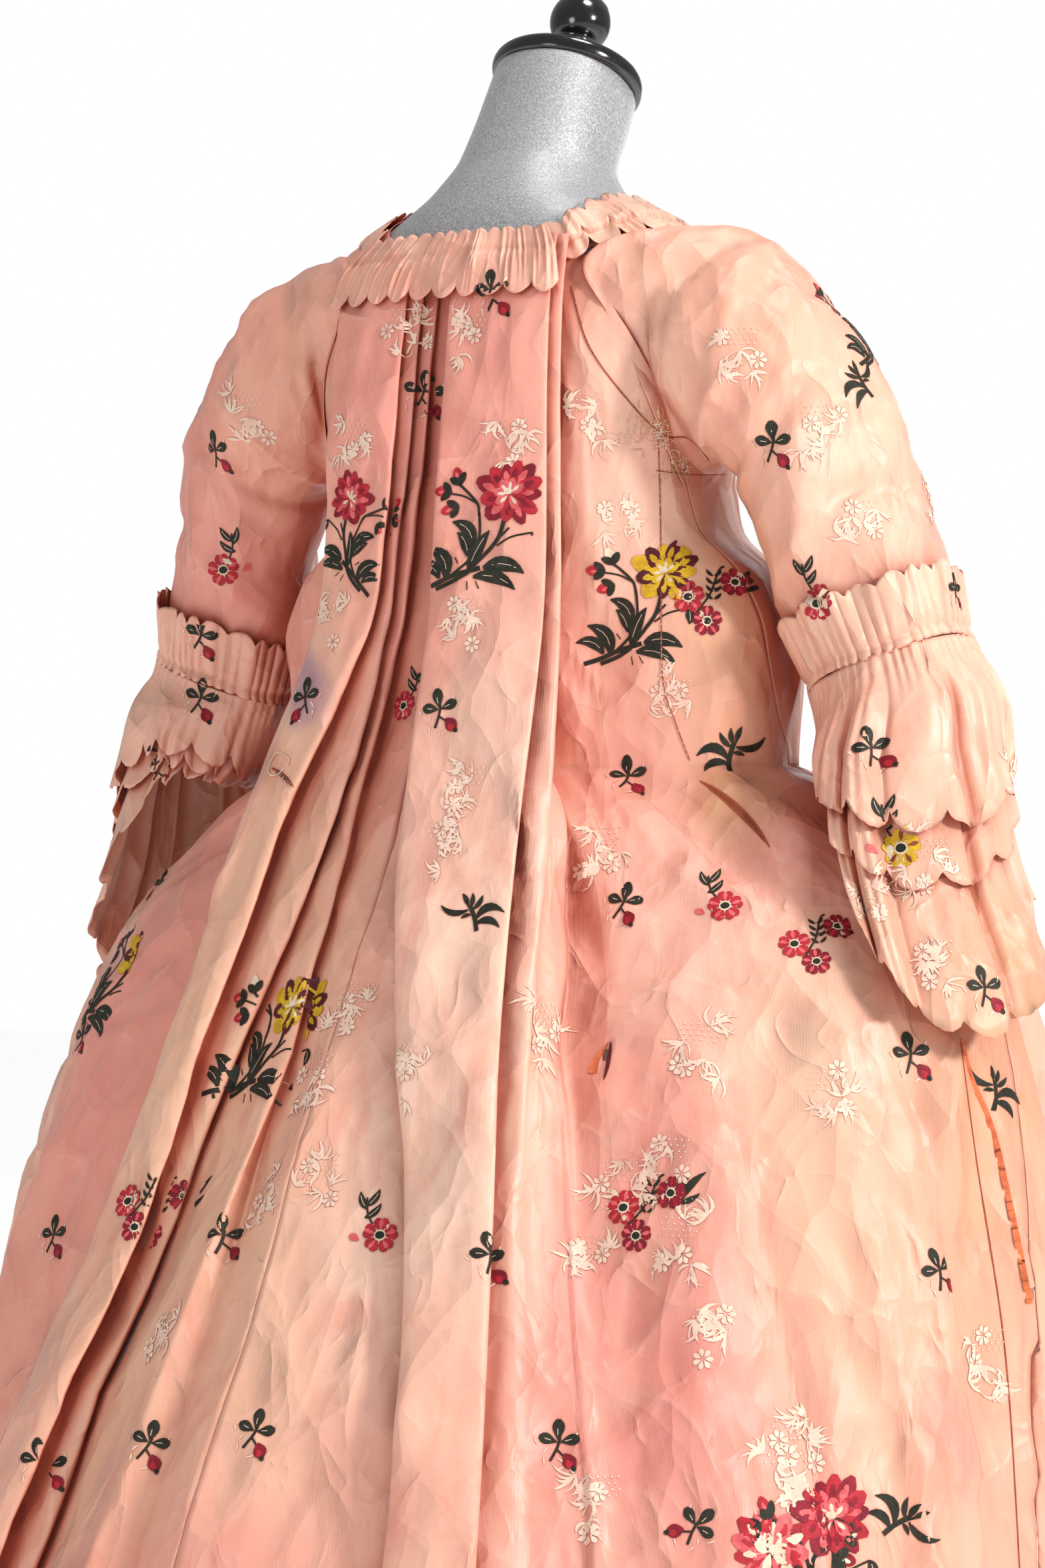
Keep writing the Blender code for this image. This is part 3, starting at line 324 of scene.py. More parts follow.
def hanging(angle, z):
    """How far the gown hangs out of its fitted shape, most of all at the side."""
    return hanging_side(z) * ease((angle - 50) / 40) * lerp(1.0, 0.35, ease((angle - 115) / 50))


def over_torso(angle, z, side, out):
    """A point at a distance over the torso's surface, square to it."""
    turn, rise = 0.5, 0.001
    across = torso_point(angle + turn, z, side) - torso_point(angle - turn, z, side)
    up = torso_point(angle, z + rise, side) - torso_point(angle, z - rise, side)
    normal = np.cross(up, across) * side
    return torso_point(angle, z, side) + out * normal / np.linalg.norm(normal)


def fold_height(angle, z, name):
    """How far the skirt's soft folds lift the cloth at a place."""
    lift = 0.0
    for waist_angle, hem_angle, width, height, start in SKIRT_FOLDS[name]:
        middle = lerp(waist_angle, hem_angle, ease((WAIST - z) / 0.5))
        grown = ease((start - z) / 0.30)
        lift += height * grown * math.exp(-((angle - middle) / width) ** 2)
    return lift


def side_valley_lift(angle, z, name):
    """The valley of the skirt that the pleats' last tuck lies in."""
    away = (angle - last_tuck[name](z)) / SIDE_VALLEY_WIDTH
    return -side_valley(z) * math.exp(-away * away)


def skirt_point(angle, z, name, out=0.0):
    side = SIDES[name]
    half_width, front, back, squareness = (column(z) for column in SKIRT_CURVES)
    depth = back if math.cos(math.radians(angle)) >= 0 else front
    flat, outward = ring_point(half_width, depth, angle, side, squareness)
    lift = out + fold_height(angle, z, name) + side_valley_lift(angle, z, name)
    lift += hanging(angle, z)
    flat = flat + outward * lift
    return np.array([flat[0], flat[1], z])


def gown_point(angle, z, name, out=0.0):
    """The fitted bodice above the waist and the skirt below it."""
    if z < WAIST:
        return skirt_point(angle, z, name, out)
    half_width, front, back, _ = (column(z) for column in TORSO_CURVES)
    depth = back if math.cos(math.radians(angle)) >= 0 else front
    _, outward = ring_point(half_width, depth, angle, SIDES[name])
    point = over_torso(angle, z, SIDES[name], ON_FORM + out)
    return point + hanging(angle, z) * np.array([outward[0], outward[1], 0.0])


def face_point(place, depth, z, side):
    """A point at a depth under the outer face that the pleats hang in."""
    half_width, face_depth = (column(z) for column in FACE_CURVES)
    share = min(abs(place) / half_width, 0.98)
    y = face_depth * (1 - share ** SQUARENESS) ** (1 / SQUARENESS)
    out_x = share ** (SQUARENESS - 1) / half_width
    out_y = (y / face_depth) ** (SQUARENESS - 1) / face_depth
    length = math.hypot(out_x, out_y)
    lean = 1 if place >= 0 else -1
    return np.array([side * (place - lean * depth * out_x / length),
                     y - depth * out_y / length, z])


# ---- the back -------------------------------------------------------------------------
LAYER_POINTS = {"right": (2, 0, 2, 0, 0), "left": (1, 0, 0, 0, 0, 0, 2, 0, 0)}
SIDE_POINTS = 10


def opened(before, place, after, gap):
    """Half the space in a fold: the gap where the cloth doubles back, 0 where it bends."""
    came, goes = place - before, after - place
    if came * goes >= 0:
        return 0.0
    return gap * clamp01(min(abs(came), abs(goes)) / (1.5 * gap))


def towards(start, end, length):
    """A point on the way from one point to another, at most a third of the way."""
    way = end - start
    return start + way * min(length / np.linalg.norm(way), 0.3)


def back_section(name, z):
    """The folded line of the back at one height, centre seam to side edge."""
    side = SIDES[name]
    rounding = fold_round(z)
    tuck_angle = last_tuck[name](z)
    tuck = gown_point(tuck_angle, z, name)
    folds = [(turn, place(z), depth(z)) for turn, place, depth in pleat_folds[name]]
    places = [side * seam_place(z)] + [fold[1] for fold in folds] + [abs(tuck[0])]

    # Where each fold's two layers would meet its edge, in and out, as (place, depth).
    entering, leaving = [], [np.array([places[0] + SEAM, seam_depth(z)])]
    for i, (turn, place, depth) in enumerate(folds):
        gap = opened(places[i], place, places[i + 2], fold_gap(z))
        entering.append(np.array([place, depth - turn * gap]))
        leaving.append(np.array([place, depth + turn * gap]))
    entering.append(np.array([places[-1], leaving[-1][1] + 0.02]))

    line = [leaving[0]]
    for i, (_, place, depth) in enumerate(folds):
        before, start = line[-1], towards(entering[i], leaving[i], rounding)
        for k in range(LAYER_POINTS[name][i]):
            t = (k + 1) / (LAYER_POINTS[name][i] + 1)
            line.append(np.array([lerp(before[0], start[0], t),
                                  lerp(before[1], start[1], ease(t))]))
        line += [start, np.array([place, depth]),
                 towards(leaving[i + 1], entering[i + 1], rounding)]
    points = [face_point(place, depth, z, side) for place, depth in line]

    gap = opened(places[-2], places[-1], places[-1] + 0.1, fold_gap(z))
    enter = gown_point(tuck_angle, z, name, 2 * gap)
    bend = gown_point(tuck_angle - math.degrees(gap / reach_from_axis(tuck)), z, name, gap)
    points += [lerp(points[-1], enter, 0.5), towards(enter, points[-1], rounding), bend]
    stop = back_edge(z) - math.degrees(SEAM / reach_from_axis(points[-1]))
    first = tuck_angle + math.degrees(min(rounding, 0.006) / reach_from_axis(tuck))
    for k in range(SIDE_POINTS):
        points.append(gown_point(lerp(first, stop, k / (SIDE_POINTS - 1)), z, name))
    return points


def reach_from_axis(point):
    return math.hypot(point[0], point[1])


# ---- sleeves --------------------------------------------------------------------------
def closed_curve(points, count):
    """Points evenly spread along a smooth loop through the given points."""
    points = [np.array(p, float) for p in points]
    total = len(points)
    dense = []
    for i in range(total):
        a, b, c, d = (points[(i + k - 1) % total] for k in range(4))
        for step in range(12):
            t = step / 12
            dense.append(0.5 * (2 * b + (c - a) * t + (2 * a - 5 * b + 4 * c - d) * t ** 2
                                + (3 * b - a - 3 * c + d) * t ** 3))
    dense = np.array(dense + [dense[0]])
    length = np.concatenate([[0], np.cumsum(np.linalg.norm(np.diff(dense, axis=0), axis=1))])
    marks = np.arange(count) * length[-1] / count
    return np.stack([np.interp(marks, length, dense[:, k]) for k in range(3)], axis=1)


def sleeve_frame(row):
    """Centre, sideways and outward half axes of one sleeve ring on the left side."""
    outer_x, outer_z, inner_x, inner_z, half_depth, back = row
    centre = np.array([(outer_x + inner_x) / 2, back, (outer_z + inner_z) / 2])
    across = np.array([(outer_x - inner_x) / 2, 0.0, (outer_z - inner_z) / 2])
    return centre, across, np.array([0.0, half_depth, 0.0])


def sleeve_ring(row, count):
    """A sleeve ring that starts at the back and goes over the outer side to the front."""
    centre, across, depth = sleeve_frame(row)
    turns = (2 * math.pi * k / count for k in range(count))
    return np.array([centre + depth * math.cos(t) + across * math.sin(t) for t in turns])


def mirrored(grid, side):
    grid = np.array(grid, float)
    grid[..., 0] *= side
    return grid


def down_sleeve():
    """The direction down the sleeve's length at its end."""
    down = sleeve_frame(SLEEVE[-1])[0] - sleeve_frame(SLEEVE[-2])[0]
    return down / np.linalg.norm(down)


def clear_of_skirt(point, distance):
    """The step that takes a point of the left side to a distance over the skirt."""
    half_width, front, back, _ = (column(point[2]) for column in SKIRT_CURVES)
    half_width += distance + hanging_side(point[2])
    depth = distance + lerp(front, back, ease(0.5 + point[1] / 0.1))
    x, y = point[0] / half_width, point[1] / depth
    reach = math.hypot(x, y)
    steep = np.array([x / reach / half_width, y / reach / depth, 0.0])
    short = (1 - reach) / np.linalg.norm(steep)
    step = SOFTNESS * math.log1p(math.exp(min(short / SOFTNESS, 60.0)))
    return step * steep / np.linalg.norm(steep)


def elbow_side(turn, name):
    """1 at the elbow, 0 at the bend of the arm."""
    return (0.5 + 0.5 * math.cos(turn - ELBOW_TURN[name])) ** FLOUNCE_FALL


def sleeve_outward(turn):
    """Direction out of the left sleeve's end: turn 0 is the back of the sleeve."""
    _, across, depth = sleeve_frame(SLEEVE[-1])
    way = depth * math.cos(turn) + across * math.sin(turn)
    return way / np.linalg.norm(way)


def flounce_base(turn, below, name):
    """The lowest flounce's smooth surface on the left side."""
    centre, across, depth = sleeve_frame(SLEEVE[-1])
    rim = centre + depth * math.cos(turn) + across * math.sin(turn)
    outward = sleeve_outward(turn)
    drop = lerp(down_sleeve(), np.array([0.0, 0.0, -1.0]), ease(0.3 + below / 0.12))
    drop = drop / np.linalg.norm(drop)
    flat = np.array([outward[0], outward[1], 0.0])
    flat = flat / np.linalg.norm(flat)
    swing = FLOUNCE_FLARE * ease(below / 0.12) * lerp(0.1, 1.0, elbow_side(turn, name))
    point = rim + drop * (below + FLOUNCE_START) + flat * swing
    return point + clear_of_skirt(point, FLOUNCE_REST) * ease(below / 0.06)


def flounce_point(row, turn, v, name):
    """A point of a smooth flounce: v 0 is its top and v 1 its edge."""
    _, elbow, bend, near_top, lower_down = row
    below = (lerp(bend, elbow, elbow_side(turn, name)) + FLOUNCE_EXTRA) * v
    around, along = 0.04, 0.004
    across = flounce_base(turn + around, below, name) - flounce_base(turn - around, below, name)
    down = flounce_base(turn, below + along, name) - flounce_base(turn, below - along, name)
    square = np.cross(across, down)
    square = square / np.linalg.norm(square)
    outward, grown = sleeve_outward(turn), ease(below / 0.05)
    lower_down = lerp(3.3 * near_top, lower_down, elbow_side(turn, name))
    return (flounce_base(turn, below, name) + outward * near_top * (1 - grown)
            + square * lower_down * grown)


# ---- fine cloth -----------------------------------------------------------------------
SILK_WALL = 0.0006         # the silk alone; the solids also hold its lining
FINE_STEP = 0.0070         # the widest a back's cell may be across


def spline_weights(count, wanted, closed):
    """Weights that take `count` points to `wanted` points of a smooth line through them."""
    weights = np.zeros((wanted, count))
    spans = count if closed else count - 1
    for row in range(wanted):
        place = row * spans / (wanted if closed else wanted - 1)
        first = min(int(place), spans - 1)
        t = place - first
        near = (-0.5 * t + t * t - 0.5 * t ** 3, 1 - 2.5 * t * t + 1.5 * t ** 3,
                0.5 * t + 2 * t * t - 1.5 * t ** 3, -0.5 * t * t + 0.5 * t ** 3)
        for k, weight in enumerate(near):
            at = first + k - 1
            at = at % count if closed else min(max(at, 0), count - 1)
            weights[row, at] += weight
    return weights


def finer(grid, rows, cols, wrap=False):
    """The same surface on a finer grid."""
    grid = np.array(grid, float)
    down = spline_weights(grid.shape[0], rows, False)
    across = spline_weights(grid.shape[1], cols, wrap)
    return np.einsum("ri,ijk,cj->rck", down, grid, across)


def rounded(grid):
    """Corners of the rows cut twice, so that a pressed fold turns round a small bend."""
    for _ in range(2):
        near = 0.75 * grid[:, :-1] + 0.25 * grid[:, 1:]
        far = 0.25 * grid[:, :-1] + 0.75 * grid[:, 1:]
        middle = np.stack([near, far], axis=2).reshape(grid.shape[0], -1, 3)
        grid = np.concatenate([grid[:, :1], middle[:, 1:-1], grid[:, -1:]], axis=1)
    return grid


def divided(grid, step):
    """Columns added where two columns lie further apart than a step."""
    made = [grid[:, :1]]
    for c in range(grid.shape[1] - 1):
        gap = np.linalg.norm(grid[:, c + 1] - grid[:, c], axis=1).max()
        parts = max(1, math.ceil(gap / step))
        for k in range(1, parts + 1):
            made.append(lerp(grid[:, c:c + 1], grid[:, c + 1:c + 2], k / parts))
    return np.concatenate(made, axis=1)


def grid_normals(grid, wrap):
    """Unit normals of a grid of points, rows by columns."""
    down = np.gradient(grid, axis=0)
    if wrap:
        across = np.roll(grid, -1, axis=1) - np.roll(grid, 1, axis=1)
    else:
        across = np.gradient(grid, axis=1)
    normal = np.cross(across, down)
    return normal / np.maximum(np.linalg.norm(normal, axis=2, keepdims=True), 1e-12)


def outward_normals(grid, wrap):
    """Grid normals turned away from the middle of the grid's own ring or body."""
    normal = grid_normals(grid, wrap)
    middle = grid.reshape(-1, 3).mean(axis=0) if wrap else np.array([0.0, 0.0, 0.0])
    away = grid - middle
    away[..., 2] = 0
    return normal if (normal * away).sum() > 0 else -normal


def make_mesh(name, points, faces, look, smooth=True):
    mesh = bpy.data.meshes.new(name)
    mesh.from_pydata(points, [], faces)
    mesh.update()
    if smooth:
        mesh.shade_smooth()
    made = bpy.data.objects.new(name, mesh)
    mesh.materials.append(look)
    bpy.context.scene.collection.objects.link(made)
    return made


def shell(name, grid, look, wrap=False, wall=SILK_WALL, hole=None):
    """A thin wall of cloth round a grid of points, with the cloth's own lengths as UV."""
    grid = np.array(grid, float)
    rows, cols = grid.shape[:2]
    normal = outward_normals(grid, wrap) * (wall / 2)
    points = np.concatenate([(grid + normal).reshape(-1, 3), (grid - normal).reshape(-1, 3)])
    far = rows * cols
    around = cols if wrap else cols - 1
    r, c = np.meshgrid(np.arange(rows - 1), np.arange(around), indexing="ij")
    a, b = r * cols + c, r * cols + (c + 1) % cols
    cells = np.stack([a, b, b + cols, a + cols], axis=-1)
    keep = np.ones((rows - 1, around), bool) if hole is None else ~hole
    corner = np.stack([c, c + 1, c + 1, c], axis=-1)[keep]
    step = np.stack([r, r, r + 1, r + 1], axis=-1)[keep]
    cells = cells[keep]
    if (np.cross(grid[0, 1] - grid[0, 0], grid[1, 0] - grid[0, 0]) @ normal[0, 0]) < 0:
        cells, corner, step = cells[:, ::-1], corner[:, ::-1], step[:, ::-1]
    edges = np.concatenate([cells, np.roll(cells, -1, axis=1)]).reshape(2, -1).T
    seen = {(int(i), int(j)) for i, j in edges}
    walls = [(j, i, i + far, j + far) for i, j in sorted(seen) if (j, i) not in seen]
    faces = [tuple(q) for q in cells.tolist()]
    faces += [tuple(reversed(q)) for q in (cells + far).tolist()] + walls
    made = make_mesh(name, points.tolist(), faces, look)
    wide = np.concatenate([[0.0], np.cumsum(np.linalg.norm(np.diff(
        np.concatenate([grid, grid[:, :1]], axis=1), axis=1), axis=2).mean(axis=0))])
    long = np.concatenate([[0.0], np.cumsum(np.linalg.norm(
        np.diff(grid, axis=0), axis=2).mean(axis=1))])
    uv = np.stack([wide[corner], -long[step]], axis=-1)
    ends = np.zeros((len(walls), 4, 2))
    layer = made.data.uv_layers.new(name="cloth")
    layer.data.foreach_set("uv", np.concatenate([uv, uv[:, ::-1], ends]).ravel())
    return made


# ---- creases --------------------------------------------------------------------------
CRUMPLE = ((0.110, 0.0040), (0.040, 0.0018), (0.017, 0.0009))   # width, height
# Soft creases on the wearer's right; the left side has the same ones, a little moved.
# ring angle and height of both ends, width, and height of the ridge (a trough is negative)
CREASES = (
    (30, 1.190, 62, 1.110, 0.010, -0.0020), (34, 1.120, 70, 1.050, 0.012, -0.0026),
    (40, 1.075, 74, 1.022, 0.009, -0.0020), (66, 1.180, 84, 1.062, 0.008, 0.0022),
    (92, 1.165, 88, 1.060, 0.010, -0.0060), (100, 1.150, 96, 1.020, 0.010, 0.0055),
    (46, 1.090, 80, 1.010, 0.007, 0.0026), (52, 1.050, 86, 1.000, 0.007, -0.0030),
    (74, 1.200, 84, 1.130, 0.007, 0.0030), (80, 1.190, 90, 1.110, 0.007, -0.0030),
    (108, 1.140, 102, 1.020, 0.010, -0.0040), (84, 1.120, 92, 1.020, 0.008, -0.0030),
    (30, 0.995, 34, 0.900, 0.008, 0.0050), (36, 0.992, 42, 0.880, 0.007, -0.0052),
    (42, 0.990, 50, 0.870, 0.008, 0.0054), (50, 0.990, 57, 0.890, 0.007, -0.0050),
    (56, 0.990, 66, 0.880, 0.008, 0.0050), (64, 0.985, 72, 0.900, 0.008, -0.0056),
    (70, 0.990, 80, 0.905, 0.009, 0.0056), (80, 0.985, 90, 0.930, 0.008, -0.0040),
    (90, 0.990, 100, 0.930, 0.009, 0.0046), (34, 0.930, 62, 0.905, 0.006, -0.0030),
    (44, 0.880, 72, 0.850, 0.008, -0.0036), (40, 0.850, 66, 0.790, 0.009, 0.0040),
    (50, 0.830, 84, 0.760, 0.010, -0.0040), (42, 0.780, 60, 0.700, 0.010, 0.0044),
    (60, 0.740, 92, 0.660, 0.010, -0.0036), (38, 0.640, 58, 0.590, 0.010, -0.0034),
    (38, 0.900, 40, 0.100, 0.018, 0.0060), (57, 0.880, 64, 0.060, 0.024, -0.0080),
    (66, 0.860, 73, 0.080, 0.022, 0.0080), (76, 0.860, 82, 0.060, 0.020, -0.0090),
    (84, 0.900, 91, 0.050, 0.016, 0.0085), (98, 0.900, 102, 0.100, 0.022, -0.0080),
    (66, 0.560, 96, 0.520, 0.012, 0.0040), (44, 0.460, 76, 0.400, 0.014, -0.0040),
    (70, 0.340, 96, 0.290, 0.016, 0.0036), (50, 0.560, 62, 0.470, 0.010, 0.0036),
    (130, 0.930, 118, 0.800, 0.012, -0.0040), (126, 0.700, 108, 0.560, 0.016, 0.0040),
    (112, 0.950, 116, 0.120, 0.022, 0.0070), (134, 0.930, 138, 0.100, 0.022, -0.0070),
    (4, 1.210, 14, 1.160, 0.010, -0.0014), (8, 1.020, 24, 0.965, 0.012, -0.0018),
    (6, 0.800, 18, 0.830, 0.010, -0.0016), (10, 0.620, 24, 0.560, 0.014, 0.0018),
    (16, 0.440, 30, 0.380, 0.016, -0.0018), (6, 0.300, 22, 0.240, 0.018, 0.0022),
)
LEFT_CREASES_MOVED = 4.0   # degrees
CREASE_DEPTH = 1.5         # all the placed creases together
STEEP_SIDE, SLACK_SIDE = 0.40, 1.7   # reach on the two sides of a crease, in widths
CREASE_BOW = 0.008         # how far a crease bends off its straight line
FALL_OFF = 1.4             # power of the creases' profile: 2 is round, 1 has a sharp top


def ring_angle(points):
    return np.degrees(np.arctan2(np.abs(points[..., 0]), points[..., 1]))


def crease_lift(points):
    """Height of the placed creases at each point."""
    angle, z = ring_angle(points), points[..., 2]
    angle = angle - LEFT_CREASES_MOVED * (points[..., 0] > 0)
    reach = np.hypot(points[..., 0], points[..., 1])
    lift = np.zeros(points.shape[:-1])
    for angle_a, z_a, angle_b, z_b, width, height in CREASES:
        arc = math.pi / 180 * reach
        along_x, along_z = (angle_b - angle_a) * arc, z_b - z_a
        to_x, to_z = (angle - angle_a) * arc, z - z_a
        t = np.clip((to_x * along_x + to_z * along_z)
                    / np.maximum(along_x ** 2 + along_z ** 2, 1e-9), 0, 1)
        bow = CREASE_BOW * np.sin(math.pi * t)
        off_x, off_z = to_x - t * along_x, to_z - t * along_z + bow
        away = np.hypot(off_x, off_z)
        # One side of a pressed fold falls off steeply.
        square = off_x * along_z - off_z * along_x
        reach_out = np.where(square < 0, SLACK_SIDE * width, STEEP_SIDE * width)
        fading = np.sin(math.pi * (0.08 + 0.84 * t))
        lift += CREASE_DEPTH * height * np.exp(-(away / reach_out) ** FALL_OFF) * fading
    return lift


def crumple_lift(points, stretch=(1.0, 1.0, 0.45)):
    """Fine uneven creases: sharp ridges where the noise changes sign."""
    flat = points.reshape(-1, 3) * np.array(stretch)
    lift = np.zeros(len(flat))
    for width, height in CRUMPLE:
        places = flat / width
        lift += height * np.array([0.45 - abs(noise.noise(p)) * 2.2 for p in places.tolist()])
    return lift.reshape(points.shape[:-1])


TIGHT_FROM = 28            # degrees: the bodice fits closely from here to its front
DEEPEST_ON_FORM = 0.0006


def creased(grid):
    """The grid with the creases of the whole gown, which move all its layers together."""
    away = grid.copy()
    away[..., 2] = 0
    away /= np.maximum(np.linalg.norm(away, axis=-1, keepdims=True), 1e-9)
    # Close to the form the cloth may only be pressed in a little.
    calm = np.clip((1.40 - grid[..., 2]) / 0.10, 0.25, 1.0)
    lift = (crumple_lift(grid) + crease_lift(grid)) * calm
    tight = (grid[..., 2] > WAIST) & (ring_angle(grid) > TIGHT_FROM)
    lift = np.where(tight, np.maximum(lift, -DEEPEST_ON_FORM), lift)
    return grid + away * lift[..., None]


# ---- the gown's pieces ----------------------------------------------------------------
HIP, HEM = 0.770, 0.012
BACK_HEIGHTS = np.concatenate([np.linspace(1.372, WAIST, 46)[:-1],
                               np.linspace(WAIST, HIP, 30)[:-1], np.linspace(HIP, HEM, 66)])
SKIRT_HEIGHTS = np.concatenate([np.linspace(WAIST - 0.0005, HIP, 30)[:-1],
                                np.linspace(HIP, HEM, 34)])
BODICE_TOP = 1.345
BODICE_POINTS, SKIRT_POINTS = 24, 46   # across, before the grids are made finer
ARMHOLE_TUCK = 0.016       # the bodice front goes on under the sleeve head


def back_grid(name):
    grid = np.array([back_section(name, z) for z in BACK_HEIGHTS])
    return divided(rounded(grid), FINE_STEP)


def tear_hole(grid):
    """Cells worn away beside the pleats."""
    middle = np.array(skirt_point(TEAR_ANGLE, TEAR_HEIGHT, "right"))
    centre = (grid[:-1, :-1] + grid[1:, 1:]) / 2
    away = centre - middle
    across = np.hypot(away[..., 0], away[..., 1]) / (TEAR_WIDTH / 2)
    return np.hypot(across, away[..., 2] / (TEAR_LENGTH / 2)) < 1.15


def bodice_grid(name, rows=56, cols=70):
    grid = []
    for z in np.linspace(BODICE_TOP, WAIST, rows):
        start = max(back_edge(z), armhole_front(z - ARMHOLE_TUCK)) + 0.1
        grid.append([gown_point(lerp(start, bodice_opening(z), k / (BODICE_POINTS - 1)), z, name)
                     for k in range(BODICE_POINTS)])
    return finer(grid, rows, cols)


def skirt_front_grid(name, rows=100, cols=100):
    grid = []
    for z in SKIRT_HEIGHTS:
        start = back_edge(z) + 0.05
        grid.append([skirt_point(lerp(start, skirt_opening(z), k / (SKIRT_POINTS - 1)), z, name)
                     for k in range(SKIRT_POINTS)])
    return finer(grid, rows, cols)


def scallop_edge(place, count):
    """Round pinked scallops: 0 in the notches and 1 at the tips."""
    return np.abs(np.sin(math.pi * np.asarray(place) * count)) ** 0.7


def make_backs(look):
    made = {}
    for name in SIDES:
        grid = creased(back_grid(name))
        hole = tear_hole(grid) if name == "right" else None
        made["back_" + name] = (shell("silk_back_" + name, grid, look, hole=hole), grid)
    return made


def make_fronts(silk, pale):
    made = {}
    for name in SIDES:
        bodice = creased(bodice_grid(name))
        skirt = creased(skirt_front_grid(name))
        made["bodice_front_" + name] = (shell("silk_bodice_front_" + name, bodice, silk), bodice)
        made["skirt_front_" + name] = (shell("silk_skirt_front_" + name, skirt, silk), skirt)
        made["robing_" + name] = make_robing(name, bodice, pale)
        made["front_ruche_" + name] = make_front_ruche(name, skirt, pale)
    return made


def over_grid(grid, normal, row, col):
    """A point of a grid and its normal at a fractional row and column."""
    r, c = min(int(row), len(grid) - 2), min(int(col), len(grid[0]) - 2)
    u, v = col - c, row - r

    def blend(field):
        near = lerp(field[r, c], field[r, c + 1], u)
        return lerp(near, lerp(field[r + 1, c], field[r + 1, c + 1], u), v)

    return blend(grid), blend(normal)


def make_robing(name, bodice, look):
    """A folded strip on the bodice front, beside the opening."""
    width, over, cells = 0.030, 0.0012, 12
    normal = outward_normals(bodice, False)
    grid = []
    last = bodice.shape[1] - 1
    for row in range(bodice.shape[0]):
        column = np.linalg.norm(bodice[row, last] - bodice[row, last - 1])
        line = []
        for k in range(cells + 1):
            place, out = over_grid(bodice, normal, row, last - width / column * k / cells)
            puff = 0.0016 * math.sin(math.pi * k / cells) ** 0.6
            line.append(place + out * (over + puff))
        grid.append(line)
    grid = np.array(grid)
    return shell("silk_robing_" + name, grid, look), grid


def make_front_ruche(name, skirt, look):
    """Pinked and gathered trimming on the skirt front, beside the opening."""
    width, over, cells, scallops, fluff = 0.046, 0.0026, 10, 46, 0.0032
    normal = outward_normals(skirt, False)
    last = skirt.shape[1] - 1
    start, rows = 0.06 * len(skirt), 4 * scallops
    grid = []
    for k in range(rows + 1):
        row = lerp(start, len(skirt) - 3.0, k / rows)
        column = np.linalg.norm(skirt[int(row), last] - skirt[int(row), last - 1])
        tip = float(scallop_edge(k / rows, scallops))
        line = []
        for c in range(cells + 1):
            t = c / cells
            edge = lerp(0.001 + 0.003 * (1 - tip), width - 0.004 * (1 - tip), t)
            place, out = over_grid(skirt, normal, row, last - edge / column)
            wave = math.cos(2 * math.pi * k * 0.12 + 2.2 * math.sin(k * 0.31))
            lift = fluff * (0.5 + 0.5 * wave) * abs(2 * t - 1) ** 1.4
            line.append(place + out * (over + lift))
        grid.append(line)
    grid = np.array(grid)
    return shell("silk_front_ruche_" + name, grid, look), grid


# ---- neck and shoulders ---------------------------------------------------------------
STRAP_START, STRAP_END = 35.5, 128.0
STRAP_ON_FORM = 0.0017
TRIM_START = {"right": 14.0, "left": STRAP_START}   # the right trim laps onto the neck ruche


def strap_grid(name, inner, outer, out, rows, cols, begin=STRAP_START):
    """Points along a shoulder strap, from its neck edge to its armhole edge."""
    grid = []
    for k in range(rows):
        angle = lerp(begin, STRAP_END, k / (rows - 1))
        crest = math.sin(math.radians((angle - 20.0) * 180.0 / 126.0))
        neck = 1.372 + 0.032 * crest + inner[k]
        arm = 1.352 + 0.024 * crest + outer[k]
        grid.append([over_torso(angle, lerp(neck, arm, c / (cols - 1)), SIDES[name], out)
                     for c in range(cols)])
    return np.array(grid)


def make_straps(silk, pale):
    made = {}
    rows, trim_rows, trim_cols, scallops = 40, 145, 21, 9
    for name in SIDES:
        flat = np.zeros(rows)
        grid = strap_grid(name, flat, flat, STRAP_ON_FORM, rows, 8)
        made["shoulder_strap_" + name] = (shell("silk_strap_" + name, grid, silk), grid)
        places = np.linspace(0, 1, trim_rows)
        outer_tip = scallop_edge(places, scallops)
        inner_tip = scallop_edge(places + 0.5 / scallops, scallops)
        grid = strap_grid(name, -0.004 + 0.006 * inner_tip, 0.004 - 0.011 * outer_tip,
                          STRAP_ON_FORM + 0.0022, trim_rows, trim_cols, TRIM_START[name])
        normal = outward_normals(grid, False)
        across = np.linspace(0, 1, trim_cols)[None, :]
        step = (0.46 + 0.16 * scallop_edge(places + 0.5 / scallops, scallops))[:, None]
        puff = np.where(across < step, 0.0018 + 0.0018 * across / step,
                        0.0006 + 0.0026 * (across - step) / (1 - step))
        puff = puff + 0.0006 * np.sin(places * 90 + 3 * np.sin(places * 31))[:, None]
        grid = grid + normal * puff[..., None]
        made["shoulder_trim_" + name] = (shell("silk_shoulder_trim_" + name, grid, pale), grid)
    return made


